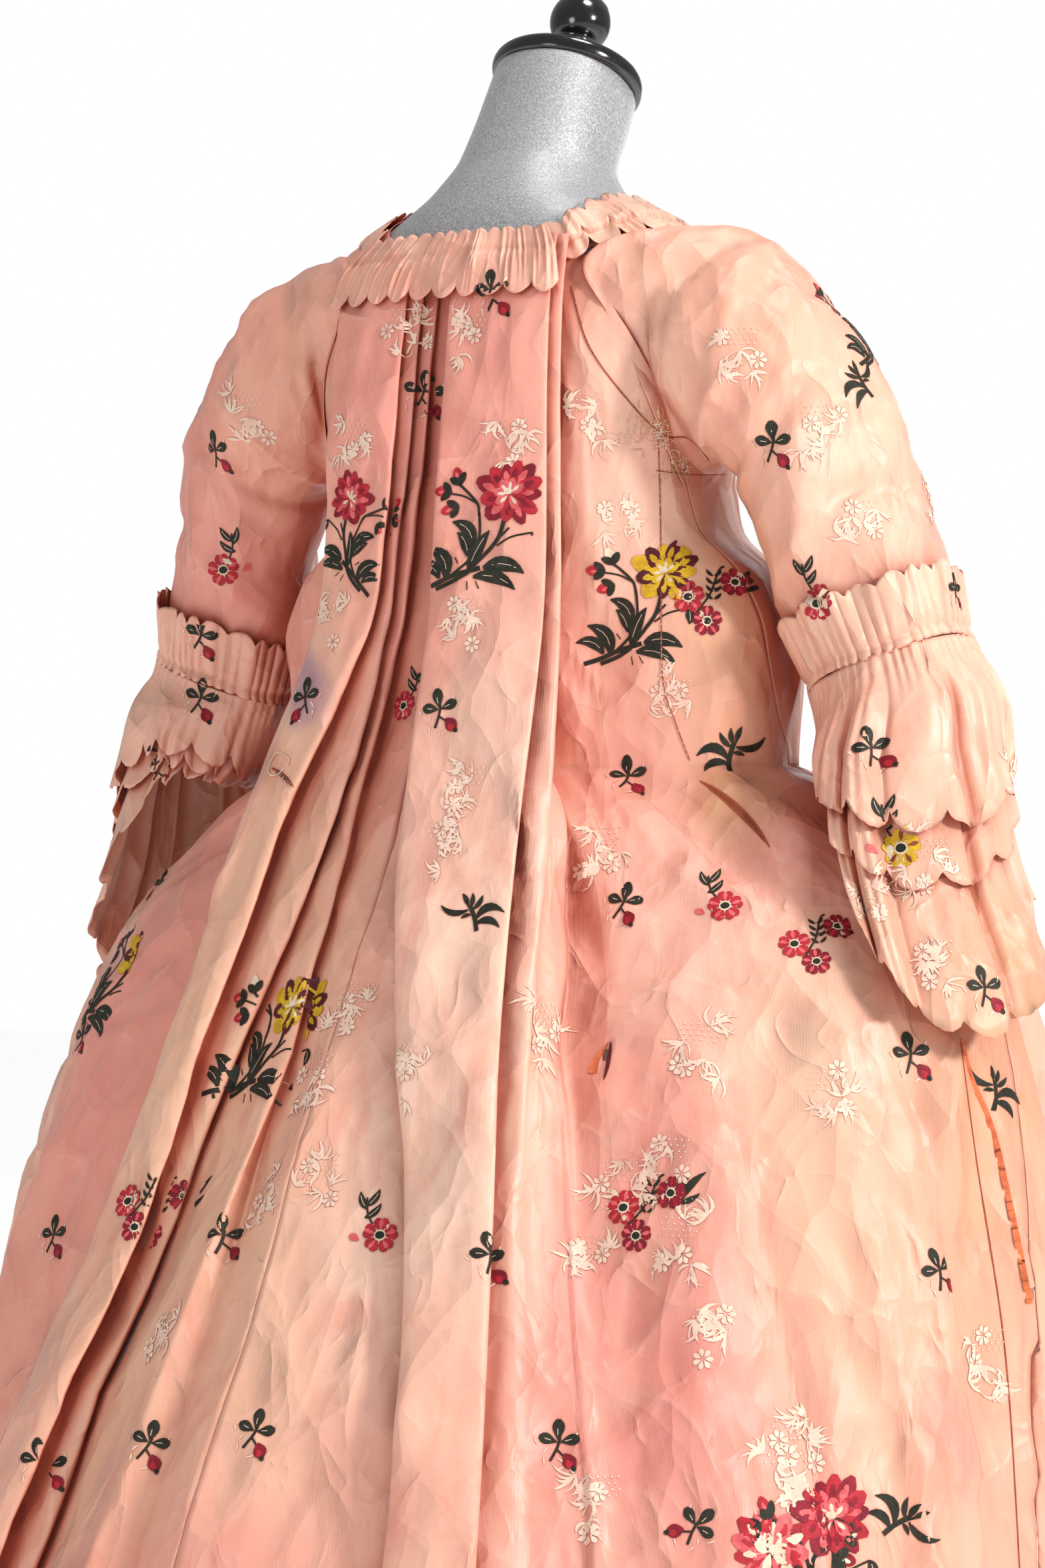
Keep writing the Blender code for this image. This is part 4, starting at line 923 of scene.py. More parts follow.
def make_neck_ruche(look):
    """Gathered band across the back neck, scalloped along both edges."""
    low_scallops, top_scallops, cols, rows = 10, 13, 301, 23
    table = columns(((1.330, 0.0032, 0.095, 0.102), (1.357, 0.0048, 0.089, 0.086),
                     (1.3765, 0.0022, 0.080, 0.066)))
    draws = random.Random(5)
    gathers = [(draws.random(), draws.uniform(0.0025, 0.0075), draws.uniform(0.0006, 0.0021),
                draws.uniform(0.2, 0.9), draws.uniform(-0.012, 0.012)) for _ in range(46)]
    grid = []
    for row in range(rows):
        s = row / (rows - 1)                       # 0 at the top edge, 1 at the scallops
        height = lerp(1.3755, 1.3340, s)
        bulge, right, left = (column(height) for column in table)
        line = []
        for k in range(cols):
            t = k / (cols - 1)
            low = float(scallop_edge(t + 0.004 * math.sin(19 * t), low_scallops))
            top = float(scallop_edge(t + 0.006 * math.sin(23 * t), top_scallops))
            edge = -0.0085 * (low - 0.35) * clamp01((s - 0.6) / 0.4)
            edge += 0.0040 * (top - 0.4) * clamp01((0.3 - s) / 0.3)
            lift = sum(high * math.exp(-((t - at - lean * s) / width) ** 2)
                       * math.exp(-((s - middle) / 0.35) ** 2)
                       for at, width, high, middle, lean in gathers)
            curl = 0.0022 * clamp01((s - 0.7) / 0.3) ** 2 * (low - 0.2)
            stitched = 0.0012 * math.exp(-((s - 0.34) / 0.06) ** 2)
            line.append(face_point(lerp(-right, left, t), -(bulge + lift + curl - stitched),
                                   height + edge, 1))
        grid.append(line)
    grid = np.array(grid)
    return {"neck_ruche": (shell("silk_neck_ruche", grid, look), grid)}


# ---- sleeves --------------------------------------------------------------------------
SLEEVE_CREASES = (  # turn round the sleeve in degrees, place down it, lean, width, height
    (20, 0.30, 0.10, 0.020, -0.0030), (60, 0.42, -0.06, 0.018, 0.0028),
    (330, 0.48, 0.12, 0.020, 0.0030), (300, 0.60, 0.08, 0.018, -0.0030),
    (10, 0.66, -0.05, 0.020, -0.0028), (80, 0.72, 0.06, 0.018, 0.0030),
    (40, 0.82, 0.04, 0.016, -0.0026), (340, 0.84, -0.08, 0.018, 0.0028),
    (120, 0.55, 0.08, 0.020, -0.0030), (180, 0.64, -0.08, 0.022, 0.0034),
    (230, 0.74, 0.06, 0.022, -0.0034), (150, 0.85, 0.05, 0.018, 0.0030),
    (345, 0.20, 0.16, 0.018, -0.0034), (30, 0.14, 0.10, 0.016, 0.0026),
)
SLEEVE_CREASE_DEPTH = 2.3
SLEEVE_LONG, CREASE_ROUND = 0.30, 42   # metres down the sleeve, degrees round it
UNDERARM_LAP = 0.020       # the sleeve laps this far onto the body under the arm
OVER_BODICE = ON_FORM + 0.0014


def armhole_loop(lowered):
    """The line that the sleeve is set in on, lowered under the arm."""
    return closed_curve([over_torso(angle, z - lowered * clamp01((1.33 - z) / 0.08), 1,
                                    OVER_BODICE) for angle, z in ARMHOLE], SLEEVE_POINTS)


def sleeve_grid():
    """The left sleeve, from its lap under the arm over the head to its gathered end."""
    loop = armhole_loop(0.0)
    start = int(np.argmax(loop[:, 1]))
    loop = np.roll(loop, -start, axis=0)
    lap = np.roll(armhole_loop(UNDERARM_LAP), -start, axis=0)
    head = sleeve_ring(SLEEVE[0], SLEEVE_POINTS)
    turns = 2 * math.pi * np.arange(SLEEVE_POINTS) / SLEEVE_POINTS
    crown = np.outer(np.maximum(np.sin(turns), 0), [0.003, 0.0, 0.008])
    grid = [lap, loop, lerp(loop, head, 0.5) + crown, head]
    grid += [sleeve_ring(row, SLEEVE_POINTS) for row in SLEEVE[1:]]
    rows, cols = 78, 140
    grid = finer(grid, rows, cols, wrap=True)
    normal = outward_normals(grid, True)
    turn = 360.0 * np.arange(cols)[None, :] / cols
    down = np.linspace(0, 1, rows)[:, None]
    lift = np.zeros((rows, cols))
    for at_turn, at_down, lean, width, height in SLEEVE_CREASES:
        off = (turn - at_turn + 180) % 360 - 180
        away = (down - at_down - lean * off / 90) * SLEEVE_LONG
        narrow = np.where(away < 0, 1.2, 4.0)
        lift += (SLEEVE_CREASE_DEPTH * height * np.exp(-np.abs(away / width * narrow) ** FALL_OFF)
                 * np.exp(-(off / CREASE_ROUND) ** 2))
    lift += 0.8 * crumple_lift(grid, (1.0, 1.0, 0.9))
    ends = np.clip(np.minimum(down, 1 - down) / 0.10, 0, 1)
    return grid + normal * (lift * ends)[..., None]


def cuff_grid():
    """Gathered band round the sleeve's end, standing up at its top edge."""
    rows, cols = 22, 380
    down = down_sleeve()
    ring = sleeve_ring(SLEEVE[-1], cols)
    centre = ring.mean(axis=0)
    outward = ring - centre
    outward = outward / np.linalg.norm(outward, axis=1, keepdims=True)
    turn = np.arange(cols) / cols
    phase = 2 * math.pi * 44 * turn + 1.9 * np.sin(2 * math.pi * 5 * turn)
    phase = phase + 1.1 * np.sin(2 * math.pi * 13 * turn + 0.7)
    fine = np.abs(np.sin(0.5 * phase)) ** 0.7 - 0.55
    broad = np.sin(phase / 4 + 1.2) * np.sin(2 * math.pi * 3 * turn + 0.4)
    lobes = np.abs(np.sin(math.pi * (24 * turn + 0.3 * np.sin(2 * math.pi * 6 * turn)))) ** 0.6
    grid = []
    for row in range(rows):
        t = row / (rows - 1)                       # 0 at the top edge, 1 at the gathers
        along = lerp(-0.046, 0.001, t) + 0.0016 * np.sin(2 * math.pi * 4 * turn)
        out = lerp(0.0090, 0.0030, ease(t ** 0.8))
        pinched = math.exp(-((t - 0.82) / 0.07) ** 2)
        wave = lerp(0.0016, 0.0026, ease(t)) * fine * (1 - 0.3 * pinched)
        wave = wave + lerp(0.0034, 0.0004, t) * broad
        tips = (lobes - 0.5) * max(0.0, 1 - t * 4) * 0.0075
        grid.append(ring + down * (along - tips)[:, None]
                    + outward * (out + wave - 0.0018 * pinched)[:, None])
    return np.array(grid)


FOLD_HEIGHT = 0.0062       # of the folds that all three flounces share
FLOUNCE_PETALS = {"upper": 15, "middle": 17, "lower": 19}      # round each flounce
PETAL_CUT = {"upper": 0.015, "middle": 0.014, "lower": 0.013}  # depth between the petals


def flounce_folds(turn, below):
    """Folds that start at the gathers and deepen downward, the same in every layer."""
    phase = 2 * math.pi * 13 * turn + 1.3 * np.sin(2 * math.pi * 3 * turn + 1.0)
    phase = phase + 0.8 * np.sin(2 * math.pi * 7 * turn)
    sharp = np.abs(np.sin(0.5 * phase)) ** 0.8 - 0.6
    small = np.sin(2.6 * phase + 2.0 * np.sin(2 * math.pi * 5 * turn))
    gathers = np.sin(2 * math.pi * 52 * turn + 1.5 * np.sin(2 * math.pi * 11 * turn))
    deep = np.clip(below / 0.060, 0, 1)
    deep = deep * deep * (3 - 2 * deep)
    near = np.clip(1 - below / 0.035, 0, 1) * np.clip(below / 0.004, 0, 1)
    return FOLD_HEIGHT * deep * (2.0 * sharp + 0.22 * small) + 0.0012 * near * gathers


def flounce_grid(row, name):
    """A flounce with its folds and its pinked petals, on the left side."""
    layer, elbow, bend = row[:3]
    coarse_rows, coarse_cols, rows, cols = 9, 48, 26, 300
    base = np.array([[flounce_point(row, 2 * math.pi * k / coarse_cols, v, name)
                      for k in range(coarse_cols)] for v in np.linspace(0, 1, coarse_rows)])
    grid = finer(base, rows, cols, wrap=True)
    normal = outward_normals(grid, True)
    turn = (np.arange(cols) / cols)[None, :]
    v = np.linspace(0, 1, rows)[:, None]
    side = np.array([elbow_side(2 * math.pi * t, name) for t in turn[0]])[None, :]
    below = lerp(bend, elbow, side) * v
    wave = flounce_folds(turn, below) * (0.45 + 0.55 * side)
    wave = wave + 0.35 * crumple_lift(grid) * np.clip(v / 0.2, 0, 1)
    down = np.gradient(grid, axis=0)
    down = down / np.maximum(np.linalg.norm(down, axis=2, keepdims=True), 1e-9)
    petals = FLOUNCE_PETALS[layer]
    place = petals * turn + 0.16 * np.sin(2 * math.pi * 4 * turn + len(layer))
    lobe = np.abs(np.sin(math.pi * place)) ** 0.55
    teeth = np.abs(np.sin(5 * math.pi * place))
    edge = PETAL_CUT[layer] * (lobe - 0.72) + 0.0010 * teeth
    edge = edge * np.clip((v - 0.70) / 0.30, 0, 1) ** 1.4
    return grid + normal * wave[..., None] + down * edge[..., None]


def make_sleeves(silk, pale):
    made = {}
    sleeve, cuff = sleeve_grid(), cuff_grid()
    for name, side in SIDES.items():
        grid = mirrored(sleeve, side)
        made["sleeve_" + name] = (shell("silk_sleeve_" + name, grid, silk, wrap=True), grid)
        grid = mirrored(cuff, side)
        piece = shell("silk_cuff_ruche_" + name, grid, pale, wrap=True)
        made["cuff_ruche_" + name] = (piece, grid)
        for row in FLOUNCES:
            grid = mirrored(flounce_grid(row, name), side)
            title = "flounce_" + row[0] + "_" + name
            made[title] = (shell("silk_" + title, grid, pale, wrap=True), grid)
    return made


def turned(name, profile, foot, axis, look, count):
    """A turned piece: (radius, height) pairs from its bottom pole to its top pole."""
    axis = np.array(axis, float) / np.linalg.norm(axis)
    wide = np.cross(axis, (0.0, 1.0, 0.0) if abs(axis[1]) < 0.9 else (1.0, 0.0, 0.0))
    wide = wide / np.linalg.norm(wide)
    deep = np.cross(axis, wide)
    foot = np.array(foot, float)
    points = [foot + axis * profile[0][1]]
    for radius, height in profile[1:-1]:
        for k in range(count):
            t = 2 * math.pi * k / count
            points.append(foot + axis * height
                          + radius * (wide * math.cos(t) + deep * math.sin(t)))
    points.append(foot + axis * profile[-1][1])
    last = len(points) - 1
    faces = []
    for k in range(count):
        n = (k + 1) % count
        faces.append((0, 1 + n, 1 + k))
        for r in range(len(profile) - 3):
            a = 1 + r * count
            faces.append((a + k, a + n, a + count + n, a + count + k))
        a = 1 + (len(profile) - 3) * count
        faces.append((a + k, a + n, last))
    return make_mesh(name, [tuple(p) for p in points], faces, look)


def make_hip_buttons(look):
    """Silk covered buttons where the skirt is looped up."""
    made = {}
    for name in SIDES:
        grid = np.array([back_section(name, z) for z in (0.885, 0.840, 0.770)])
        place, outward = grid[1, -2], grid_normals(grid, False)[1, -2]
        outward = outward * math.copysign(1.0, outward[0] * place[0])
        profile = ((0, 0), (0.0045, 0), (0.0060, 0.0008), (0.0064, 0.0022), (0.0059, 0.0036),
                   (0.0046, 0.0048), (0.0028, 0.0056), (0.0012, 0.0059), (0, 0.0060))
        piece = turned("silk_hip_button_" + name, profile, place + outward * 0.0014, outward,
                       look, 32)
        made["hip_button_" + name] = (piece, None)
    return made


# ---- the form -------------------------------------------------------------------------
def make_form_body(look):
    """The padded body and neck under their knitted cover, with the cover's seam."""
    heights = np.concatenate([[FORM_BOTTOM, FORM_BOTTOM + 0.004], np.linspace(0.79, 1.37, 30),
                              np.linspace(1.375, FORM_TOP - 0.001, 44), [FORM_TOP]])
    count, seam_turn, seam_width = 120, 262.0, 1.2
    points = []
    for z in heights:
        shrink = 0.93 if z == FORM_BOTTOM else 0.996 if z == FORM_TOP else 1.0
        for k in range(count):
            turn = 360.0 * k / count
            point = torso_point(turn, z, 1)
            groove = 0.0008 * math.exp(-((turn - seam_turn) / seam_width) ** 2) * (z > 1.30)
            point[:2] *= shrink * (1 - groove / 0.06)
            points.append(tuple(point))
    faces = [tuple(reversed(range(count))),
             tuple((len(heights) - 1) * count + k for k in range(count))]
    for r in range(len(heights) - 1):
        for k in range(count):
            a, b = r * count + k, r * count + (k + 1) % count
            faces.append((a, b, b + count, a + count))
    return make_mesh("jersey_form_body", points, faces, look)


def neck_top():
    """The middle of the neck's top and the direction up from it."""
    middle = (torso_point(0, FORM_TOP, 1) + torso_point(180, FORM_TOP, 1)) / 2
    return middle, np.array([0.0, -math.sin(NECK_TILT), math.cos(NECK_TILT)])


def smooth_profile(profile, times=5):
    """More points along a turned profile, through the given ones."""
    middle = spline_weights(len(profile), times * len(profile), False) @ np.array(profile, float)
    middle[:, 0] = np.maximum(middle[:, 0], 0.0)
    return [tuple(p) for p in middle]


def make_form(jersey, lacquer):
    middle, axis = neck_top()
    body = make_form_body(jersey)
    cap = ((0, 0), (0.045, 0), (0.0545, 0.0004), (CAP_RADIUS, 0.004), (CAP_RADIUS, 0.009),
           (0.0545, 0.0126), (0.050, 0.0142), (0.044, 0.017), (0.032, 0.0245), (0.016, 0.0300),
           (0, 0.031))
    cap = turned("lacquer_neck_cap", smooth_profile(cap), middle + axis * FIT, axis, lacquer, 96)
    ball = tuple((0.0232 * math.sin(math.radians(a)), 0.024 - 0.0232 * math.cos(math.radians(a)))
                 for a in range(40, 150, 12))
    finial = (((0, 0), (0.0140, 0), (0.0145, 0.0012), (0.0142, 0.003)) + ball
              + ((0.0125, 0.0445), (0.0122, 0.049), (0.0138, 0.064), (0.0140, 0.078),
                 (0.0110, 0.084), (0.006, 0.0858), (0, 0.086)))
    finial = turned("lacquer_finial", smooth_profile(finial, 3),
                    middle + axis * (0.031 + 2 * FIT), axis, lacquer, 64)
    for piece, title, slot in ((body, "form_body", "form_cloth"), (cap, "form_neck_cap", "lacquer"),
                               (finial, "form_finial", "lacquer")):
        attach(piece, "root")
        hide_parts(title)


# ---- materials ------------------------------------------------------------------------
SALMON = (0.780, 0.325, 0.250)
PEACH = (0.830, 0.520, 0.370)
YELLOWED = (0.770, 0.460, 0.300)
CORAL = (0.640, 0.185, 0.130)
# painted shade, laid deep in the folds of the silk
PAINTED_FOLD_SHADE = (0.470, 0.095, 0.050)
# painted highlight along the pressed creases
PAINTED_CREASE_HIGHLIGHT = (0.880, 0.590, 0.470)
TRIM = (0.790, 0.420, 0.310)
TRIM_PALE = (0.830, 0.580, 0.420)
STAIN_BLUE = (0.300, 0.160, 0.270)
STAIN_BROWN = (0.360, 0.120, 0.060)
# painted shade: tan at the side under the sleeve and flounces, and in the pocket opening
PAINTED_SHADE_TAN = (0.560, 0.300, 0.150)
STAIN_RED = (0.620, 0.130, 0.120)
# paler faded silk, which also paints light onto places that the shading leaves too dark
PALE = (0.850, 0.560, 0.440)
ROSE = (0.800, 0.280, 0.235)


class Look:
    """A material's node tree, with short ways to add and join its nodes."""

    def __init__(self, name, colour, roughness, metallic=0.0):
        self.made = bpy.data.materials.new(name)
        self.made.use_nodes = True
        self.places = {}
        self.made.diffuse_color = (*colour, 1.0)
        self.tree = self.made.node_tree
        self.shader = self.tree.nodes["Principled BSDF"]
        self.shader.inputs["Base Color"].default_value = (*colour, 1.0)
        self.shader.inputs["Roughness"].default_value = roughness
        self.shader.inputs["Metallic"].default_value = metallic

    def node(self, kind, **settings):
        made = self.tree.nodes.new(kind)
        for key, value in settings.items():
            setattr(made, key, value)
        return made

    def join(self, output, socket):
        self.tree.links.new(output, socket)

    def place(self, scale=(1, 1, 1), turn=(0, 0, 0), uv=False):
        """Coordinates in metres: the object's own, or the cloth's lengths."""
        key = (scale, turn, uv)
        if key not in self.places:
            self.places[key] = self.new_place(*key)
        return self.places[key]

    def new_place(self, scale, turn, uv):
        if scale == (1, 1, 1) and turn == (0, 0, 0):
            if uv:
                return self.node("ShaderNodeUVMap", uv_map="cloth").outputs["UV"]
            return self.node("ShaderNodeTexCoord").outputs["Object"]
        source = self.place(uv=uv)
        if turn == (0, 0, 0):
            made = self.node("ShaderNodeVectorMath", operation="MULTIPLY")
            made.inputs[1].default_value = scale
        else:
            made = self.node("ShaderNodeMapping")
            made.inputs["Scale"].default_value = scale
            made.inputs["Rotation"].default_value = turn
        self.join(source, made.inputs[0])
        return made.outputs[0]

    def noise(self, vector, scale, detail=3.0, roughness=0.55, distortion=0.0):
        made = self.node("ShaderNodeTexNoise")
        self.join(vector, made.inputs["Vector"])
        for key, value in (("Scale", scale), ("Detail", detail), ("Roughness", roughness),
                           ("Distortion", distortion)):
            made.inputs[key].default_value = value
        return made.outputs["Fac"]

    def ridges(self, vector, scale, detail=4.0, roughness=0.5, distortion=0.5):
        """Sharp creases, as pressed silk keeps them."""
        made = self.node("ShaderNodeTexNoise", noise_type="RIDGED_MULTIFRACTAL")
        self.join(vector, made.inputs["Vector"])
        for key, value in (("Scale", scale), ("Detail", detail), ("Roughness", roughness),
                           ("Distortion", distortion), ("Offset", 0.9), ("Gain", 1.6)):
            made.inputs[key].default_value = value
        return made.outputs["Fac"]

    def facets(self, scale, turn, size):
        """Flat planes with straight edges between them, as crushed silk has."""
        made = self.node("ShaderNodeTexVoronoi", feature="F1")
        swirl = self.node("ShaderNodeTexNoise")
        warped = self.node("ShaderNodeVectorMath", operation="MULTIPLY_ADD")
        here = self.place(scale=scale, turn=turn)
        self.join(here, swirl.inputs["Vector"])
        swirl.inputs["Scale"].default_value = 0.8 * size
        self.join(swirl.outputs["Color"], warped.inputs[0])
        warped.inputs[1].default_value = (0.5 / size,) * 3
        self.join(here, warped.inputs[2])
        self.join(warped.outputs["Vector"], made.inputs["Vector"])
        made.inputs["Scale"].default_value = size
        return made.outputs["Distance"]

    def painted_fold_shade(self, reach):
        """Where shade is painted: 1 deep in the folds, 0 where the cloth lies open."""
        made = self.node("ShaderNodeAmbientOcclusion", samples=6)
        made.inputs["Distance"].default_value = reach
        return self.ramp(made.outputs["AO"], 0.35, 0.95, 1.0, 0.0)

    def ramp(self, value, low, high, start=0.0, end=1.0):
        made = self.node("ShaderNodeMapRange", interpolation_type="SMOOTHSTEP")
        self.join(value, made.inputs["Value"])
        for key, number in (("From Min", low), ("From Max", high), ("To Min", start),
                            ("To Max", end)):
            made.inputs[key].default_value = number
        return made.outputs["Result"]

    def maths(self, operation, first, second):
        made = self.node("ShaderNodeMath", operation=operation)
        for socket, value in zip(made.inputs, (first, second)):
            if isinstance(value, (int, float)):
                socket.default_value = value
            else:
                self.join(value, socket)
        return made.outputs[0]

    def mix(self, share, first, second, blend="MIX"):
        made = self.node("ShaderNodeMix", data_type="RGBA", blend_type=blend)
        self.join(share, made.inputs["Factor"])
        for socket, value in ((made.inputs["A"], first), (made.inputs["B"], second)):
            if isinstance(value, tuple):
                socket.default_value = (*value, 1.0)
            else:
                self.join(value, socket)
        return made.outputs["Result"]

    def near(self, point, radius, taller, share):
        """The share at a point of the gown, falling to 0 at a radius."""
        made = self.node("ShaderNodeVectorMath", operation="DISTANCE")
        self.join(self.place(scale=(1.0, 1.0, 1.0 / taller)), made.inputs[0])
        made.inputs[1].default_value = (point[0], point[1], point[2] / taller)
        return self.ramp(made.outputs["Value"], 0.25 * radius, radius, share, 0.0)

    def bump(self, height, strength, distance, normal=None):
        made = self.node("ShaderNodeBump")
        made.inputs["Strength"].default_value = strength
        made.inputs["Distance"].default_value = distance
        self.join(height, made.inputs["Height"])
        if normal is not None:
            self.join(normal, made.inputs["Normal"])
        return made.outputs["Normal"]

    def colour(self, output):
        self.join(output, self.shader.inputs["Base Color"])

    def finish(self, **values):
        for key, value in values.items():
            self.shader.inputs[key.replace("_", " ")].default_value = value
        return self.made


# Faded, yellowed or stained places, tan painted shade, and pale places that are faded silk and
# partly painted light: middle, radius, how much taller than wide, colour, share
SILK_PATCHES = (
    ((0.146, 0.056, 1.262), 0.080, 1.6, YELLOWED, 0.50),
    ((0.088, 0.198, 0.836), 0.085, 3.0, YELLOWED, 0.54),
    ((0.059, 0.311, 0.60), 0.100, 2.4, YELLOWED, 0.47),
    ((0.15, 0.20, 0.70), 0.050, 4.0, YELLOWED, 0.36),
    ((-0.140, 0.060, 1.18), 0.075, 2.0, YELLOWED, 0.40),
    ((-0.185, 0.020, 1.12), 0.050, 2.6, PAINTED_SHADE_TAN, 0.60),
    ((-0.214, 0.070, 1.318), 0.090, 1.0, YELLOWED, 0.40),
    ((-0.281, 0.051, 1.200), 0.060, 1.8, PEACH, 0.60),
    ((-0.351, 0.135, 0.700), 0.085, 3.6, YELLOWED, 0.58),
    ((-0.300, 0.115, 0.84), 0.070, 1.6, PEACH, 0.70),
    ((-0.400, 0.035, 0.79), 0.060, 3.0, PAINTED_SHADE_TAN, 0.62),
    ((-0.405, 0.040, 0.60), 0.080, 2.5, YELLOWED, 0.43),
    ((-0.097, 0.224, 0.80), 0.060, 3.2, PEACH, 0.60),
    ((-0.035, 0.130, 1.26), 0.070, 1.4, ROSE, 0.45),
    ((-0.180, 0.146, 0.86), 0.080, 2.0, ROSE, 0.30),
    ((-0.233, 0.233, 0.60), 0.080, 3.2, ROSE, 0.85),
    ((-0.120, 0.080, 0.98), 0.060, 1.4, PALE, 0.30),
    ((0.277, 0.150, 0.80), 0.070, 3.0, ROSE, 0.60),
    ((-0.085, 0.180, 0.930), 0.070, 3.0, PALE, 0.70),
    ((-0.132, 0.067, 1.20), 0.060, 2.2, PALE, 0.60),
    ((-0.090, 0.260, 0.700), 0.070, 3.0, PALE, 0.85),
    ((-0.200, 0.120, 0.900), 0.060, 1.5, PALE, 0.50),
    ((0.250, 0.000, 1.180), 0.060, 1.6, ROSE, 0.60),
    ((0.060, 0.120, 1.260), 0.060, 1.5, ROSE, 0.55),
    ((-0.205, 0.045, 0.975), 0.034, 1.3, PAINTED_SHADE_TAN, 0.80),
    ((0.10, -0.33, 0.62), 0.200, 1.6, PEACH, 0.50),
    ((-0.10, -0.36, 0.40), 0.180, 2.0, YELLOWED, 0.36),
    ((0.30, -0.10, 0.50), 0.120, 3.0, YELLOWED, 0.36),
    ((0.0, 0.44, 0.25), 0.120, 2.4, ROSE, 0.50),
)
STAINS = (
    ((0.096, 0.145, 1.061), 0.020, 1.0, STAIN_BLUE, 0.60),
    ((0.112, 0.145, 1.075), 0.018, 1.0, STAIN_BLUE, 0.55),
    ((0.080, 0.150, 1.047), 0.018, 1.0, STAIN_BLUE, 0.55),
    ((0.090, 0.150, 1.036), 0.014, 1.0, STAIN_BLUE, 0.5),
    ((-0.400, 0.118, 0.561), 0.030, 1.6, STAIN_RED, 0.45),
    ((0.121, 0.155, 0.997), 0.030, 0.6, STAIN_BROWN, 0.45),
)


def silk_look(name, base, pale, yellow_share, roughness=0.42, crush=1.0):
    """Worn plain-woven silk: fine ribs, slubs, crushed creases and uneven fading, with shade
    painted into the folds and highlights painted along the creases.
    """
    look = Look(name, base, roughness)
    here = look.place()
    tall = look.place(scale=(1.0, 1.0, 0.22))
    fade = look.ramp(look.noise(tall, 5.5, 4.0, 0.6, 0.4), 0.40, 0.66)
    paint = look.mix(look.maths("MULTIPLY", fade, 0.60), base, pale)
    yellowing = look.ramp(look.noise(tall, 3.1, 3.0, 0.5, 0.7), 0.50, 0.72, 0.0, yellow_share)
    paint = look.mix(yellowing, paint, YELLOWED)
    rough_edge = look.noise(tall, 30.0, 4.0, 0.6, 0.5)
    uneven = look.ramp(rough_edge, 0.30, 0.58, 0.45, 1.0)
    for middle, radius, taller, colour, share in SILK_PATCHES + STAINS:
        spot = look.near(middle, 1.5 * radius, taller, share)
        paint = look.mix(look.maths("MULTIPLY", spot, uneven), paint, colour)
    mottle = look.ramp(look.noise(tall, 24.0, 6.0, 0.7, 0.8), 0.46, 0.76, 0.0, 0.45)
    paint = look.mix(mottle, paint, CORAL)
    pressed = look.ridges(look.place(scale=(1.0, 1.0, 0.6)), 9.0, 1.0, 0.5, 0.7)
    worn = look.ridges(look.place(scale=(1.0, 1.0, 0.7), turn=(0.3, 0.2, 0.8)), 21.0, 1.0,
                       0.5, 0.6)
    # Painted highlight: pale lines along the ridged creases stand in for the sheen of pressed silk.
    lines = look.maths("MAXIMUM", look.ramp(pressed, 0.9, 1.5), look.ramp(worn, 0.9, 1.5))
    paint = look.mix(look.maths("MULTIPLY", lines, 0.26), paint, PAINTED_CREASE_HIGHLIGHT)
    # Painted shade: deep coral in the folds and crevices that the occlusion finds.
    paint = look.mix(look.maths("MULTIPLY", look.painted_fold_shade(0.045), 0.90), paint, PAINTED_FOLD_SHADE)
    ribs = look.node("ShaderNodeTexWave", wave_type="BANDS", bands_direction="X")
    look.join(look.place(uv=True), ribs.inputs["Vector"])
    for key, value in (("Scale", 210.0), ("Distortion", 1.4), ("Detail", 2.0),
                       ("Detail Scale", 30.0)):
        ribs.inputs[key].default_value = value
    slubs = look.noise(look.place(scale=(60.0, 900.0, 1.0), uv=True), 1.0, 2.0, 0.6)
    warp = look.noise(look.place(scale=(700.0, 24.0, 1.0), uv=True), 1.0, 2.0, 0.6)
    thread = look.maths("ADD", look.maths("MULTIPLY", slubs, 0.5),
                        look.maths("MULTIPLY", warp, 0.5))
    paint = look.mix(look.ramp(thread, 0.35, 0.65, 0.0, 0.16), paint, pale, "SOFT_LIGHT")
    look.colour(paint)
    normal = look.bump(look.facets((0.9, 0.8, 0.5), (0.2, 0.1, 0.4), 9.0), 0.80, 0.0240 * crush)
    normal = look.bump(look.facets((1.0, 1.0, 0.6), (0.5, 0.3, 1.1), 24.0), 0.80, 0.0100 * crush,
                       normal)
    normal = look.bump(pressed, 0.75, 0.0044 * crush, normal)
    normal = look.bump(worn, 0.70, 0.0020 * crush, normal)
    normal = look.bump(lines, 0.80, 0.0011 * crush, normal)
    normal = look.bump(look.noise(look.place(scale=(1.0, 1.0, 0.55)), 42.0, 3.0, 0.5, 0.6),
                       0.35, 0.0024 * crush, normal)
    normal = look.bump(look.noise(here, 210.0, 2.0, 0.5), 0.18 * crush, 0.0004, normal)
    weave = look.maths("ADD", ribs.outputs["Fac"], thread)
    look.join(look.bump(weave, 0.16, 0.0004, normal), look.shader.inputs["Normal"])
    look.join(look.ramp(rough_edge, 0.3, 0.7, roughness - 0.05, roughness + 0.10),
              look.shader.inputs["Roughness"])
    return look.finish(Sheen_Weight=0.10, Sheen_Roughness=0.35, Specular_IOR_Level=0.55)


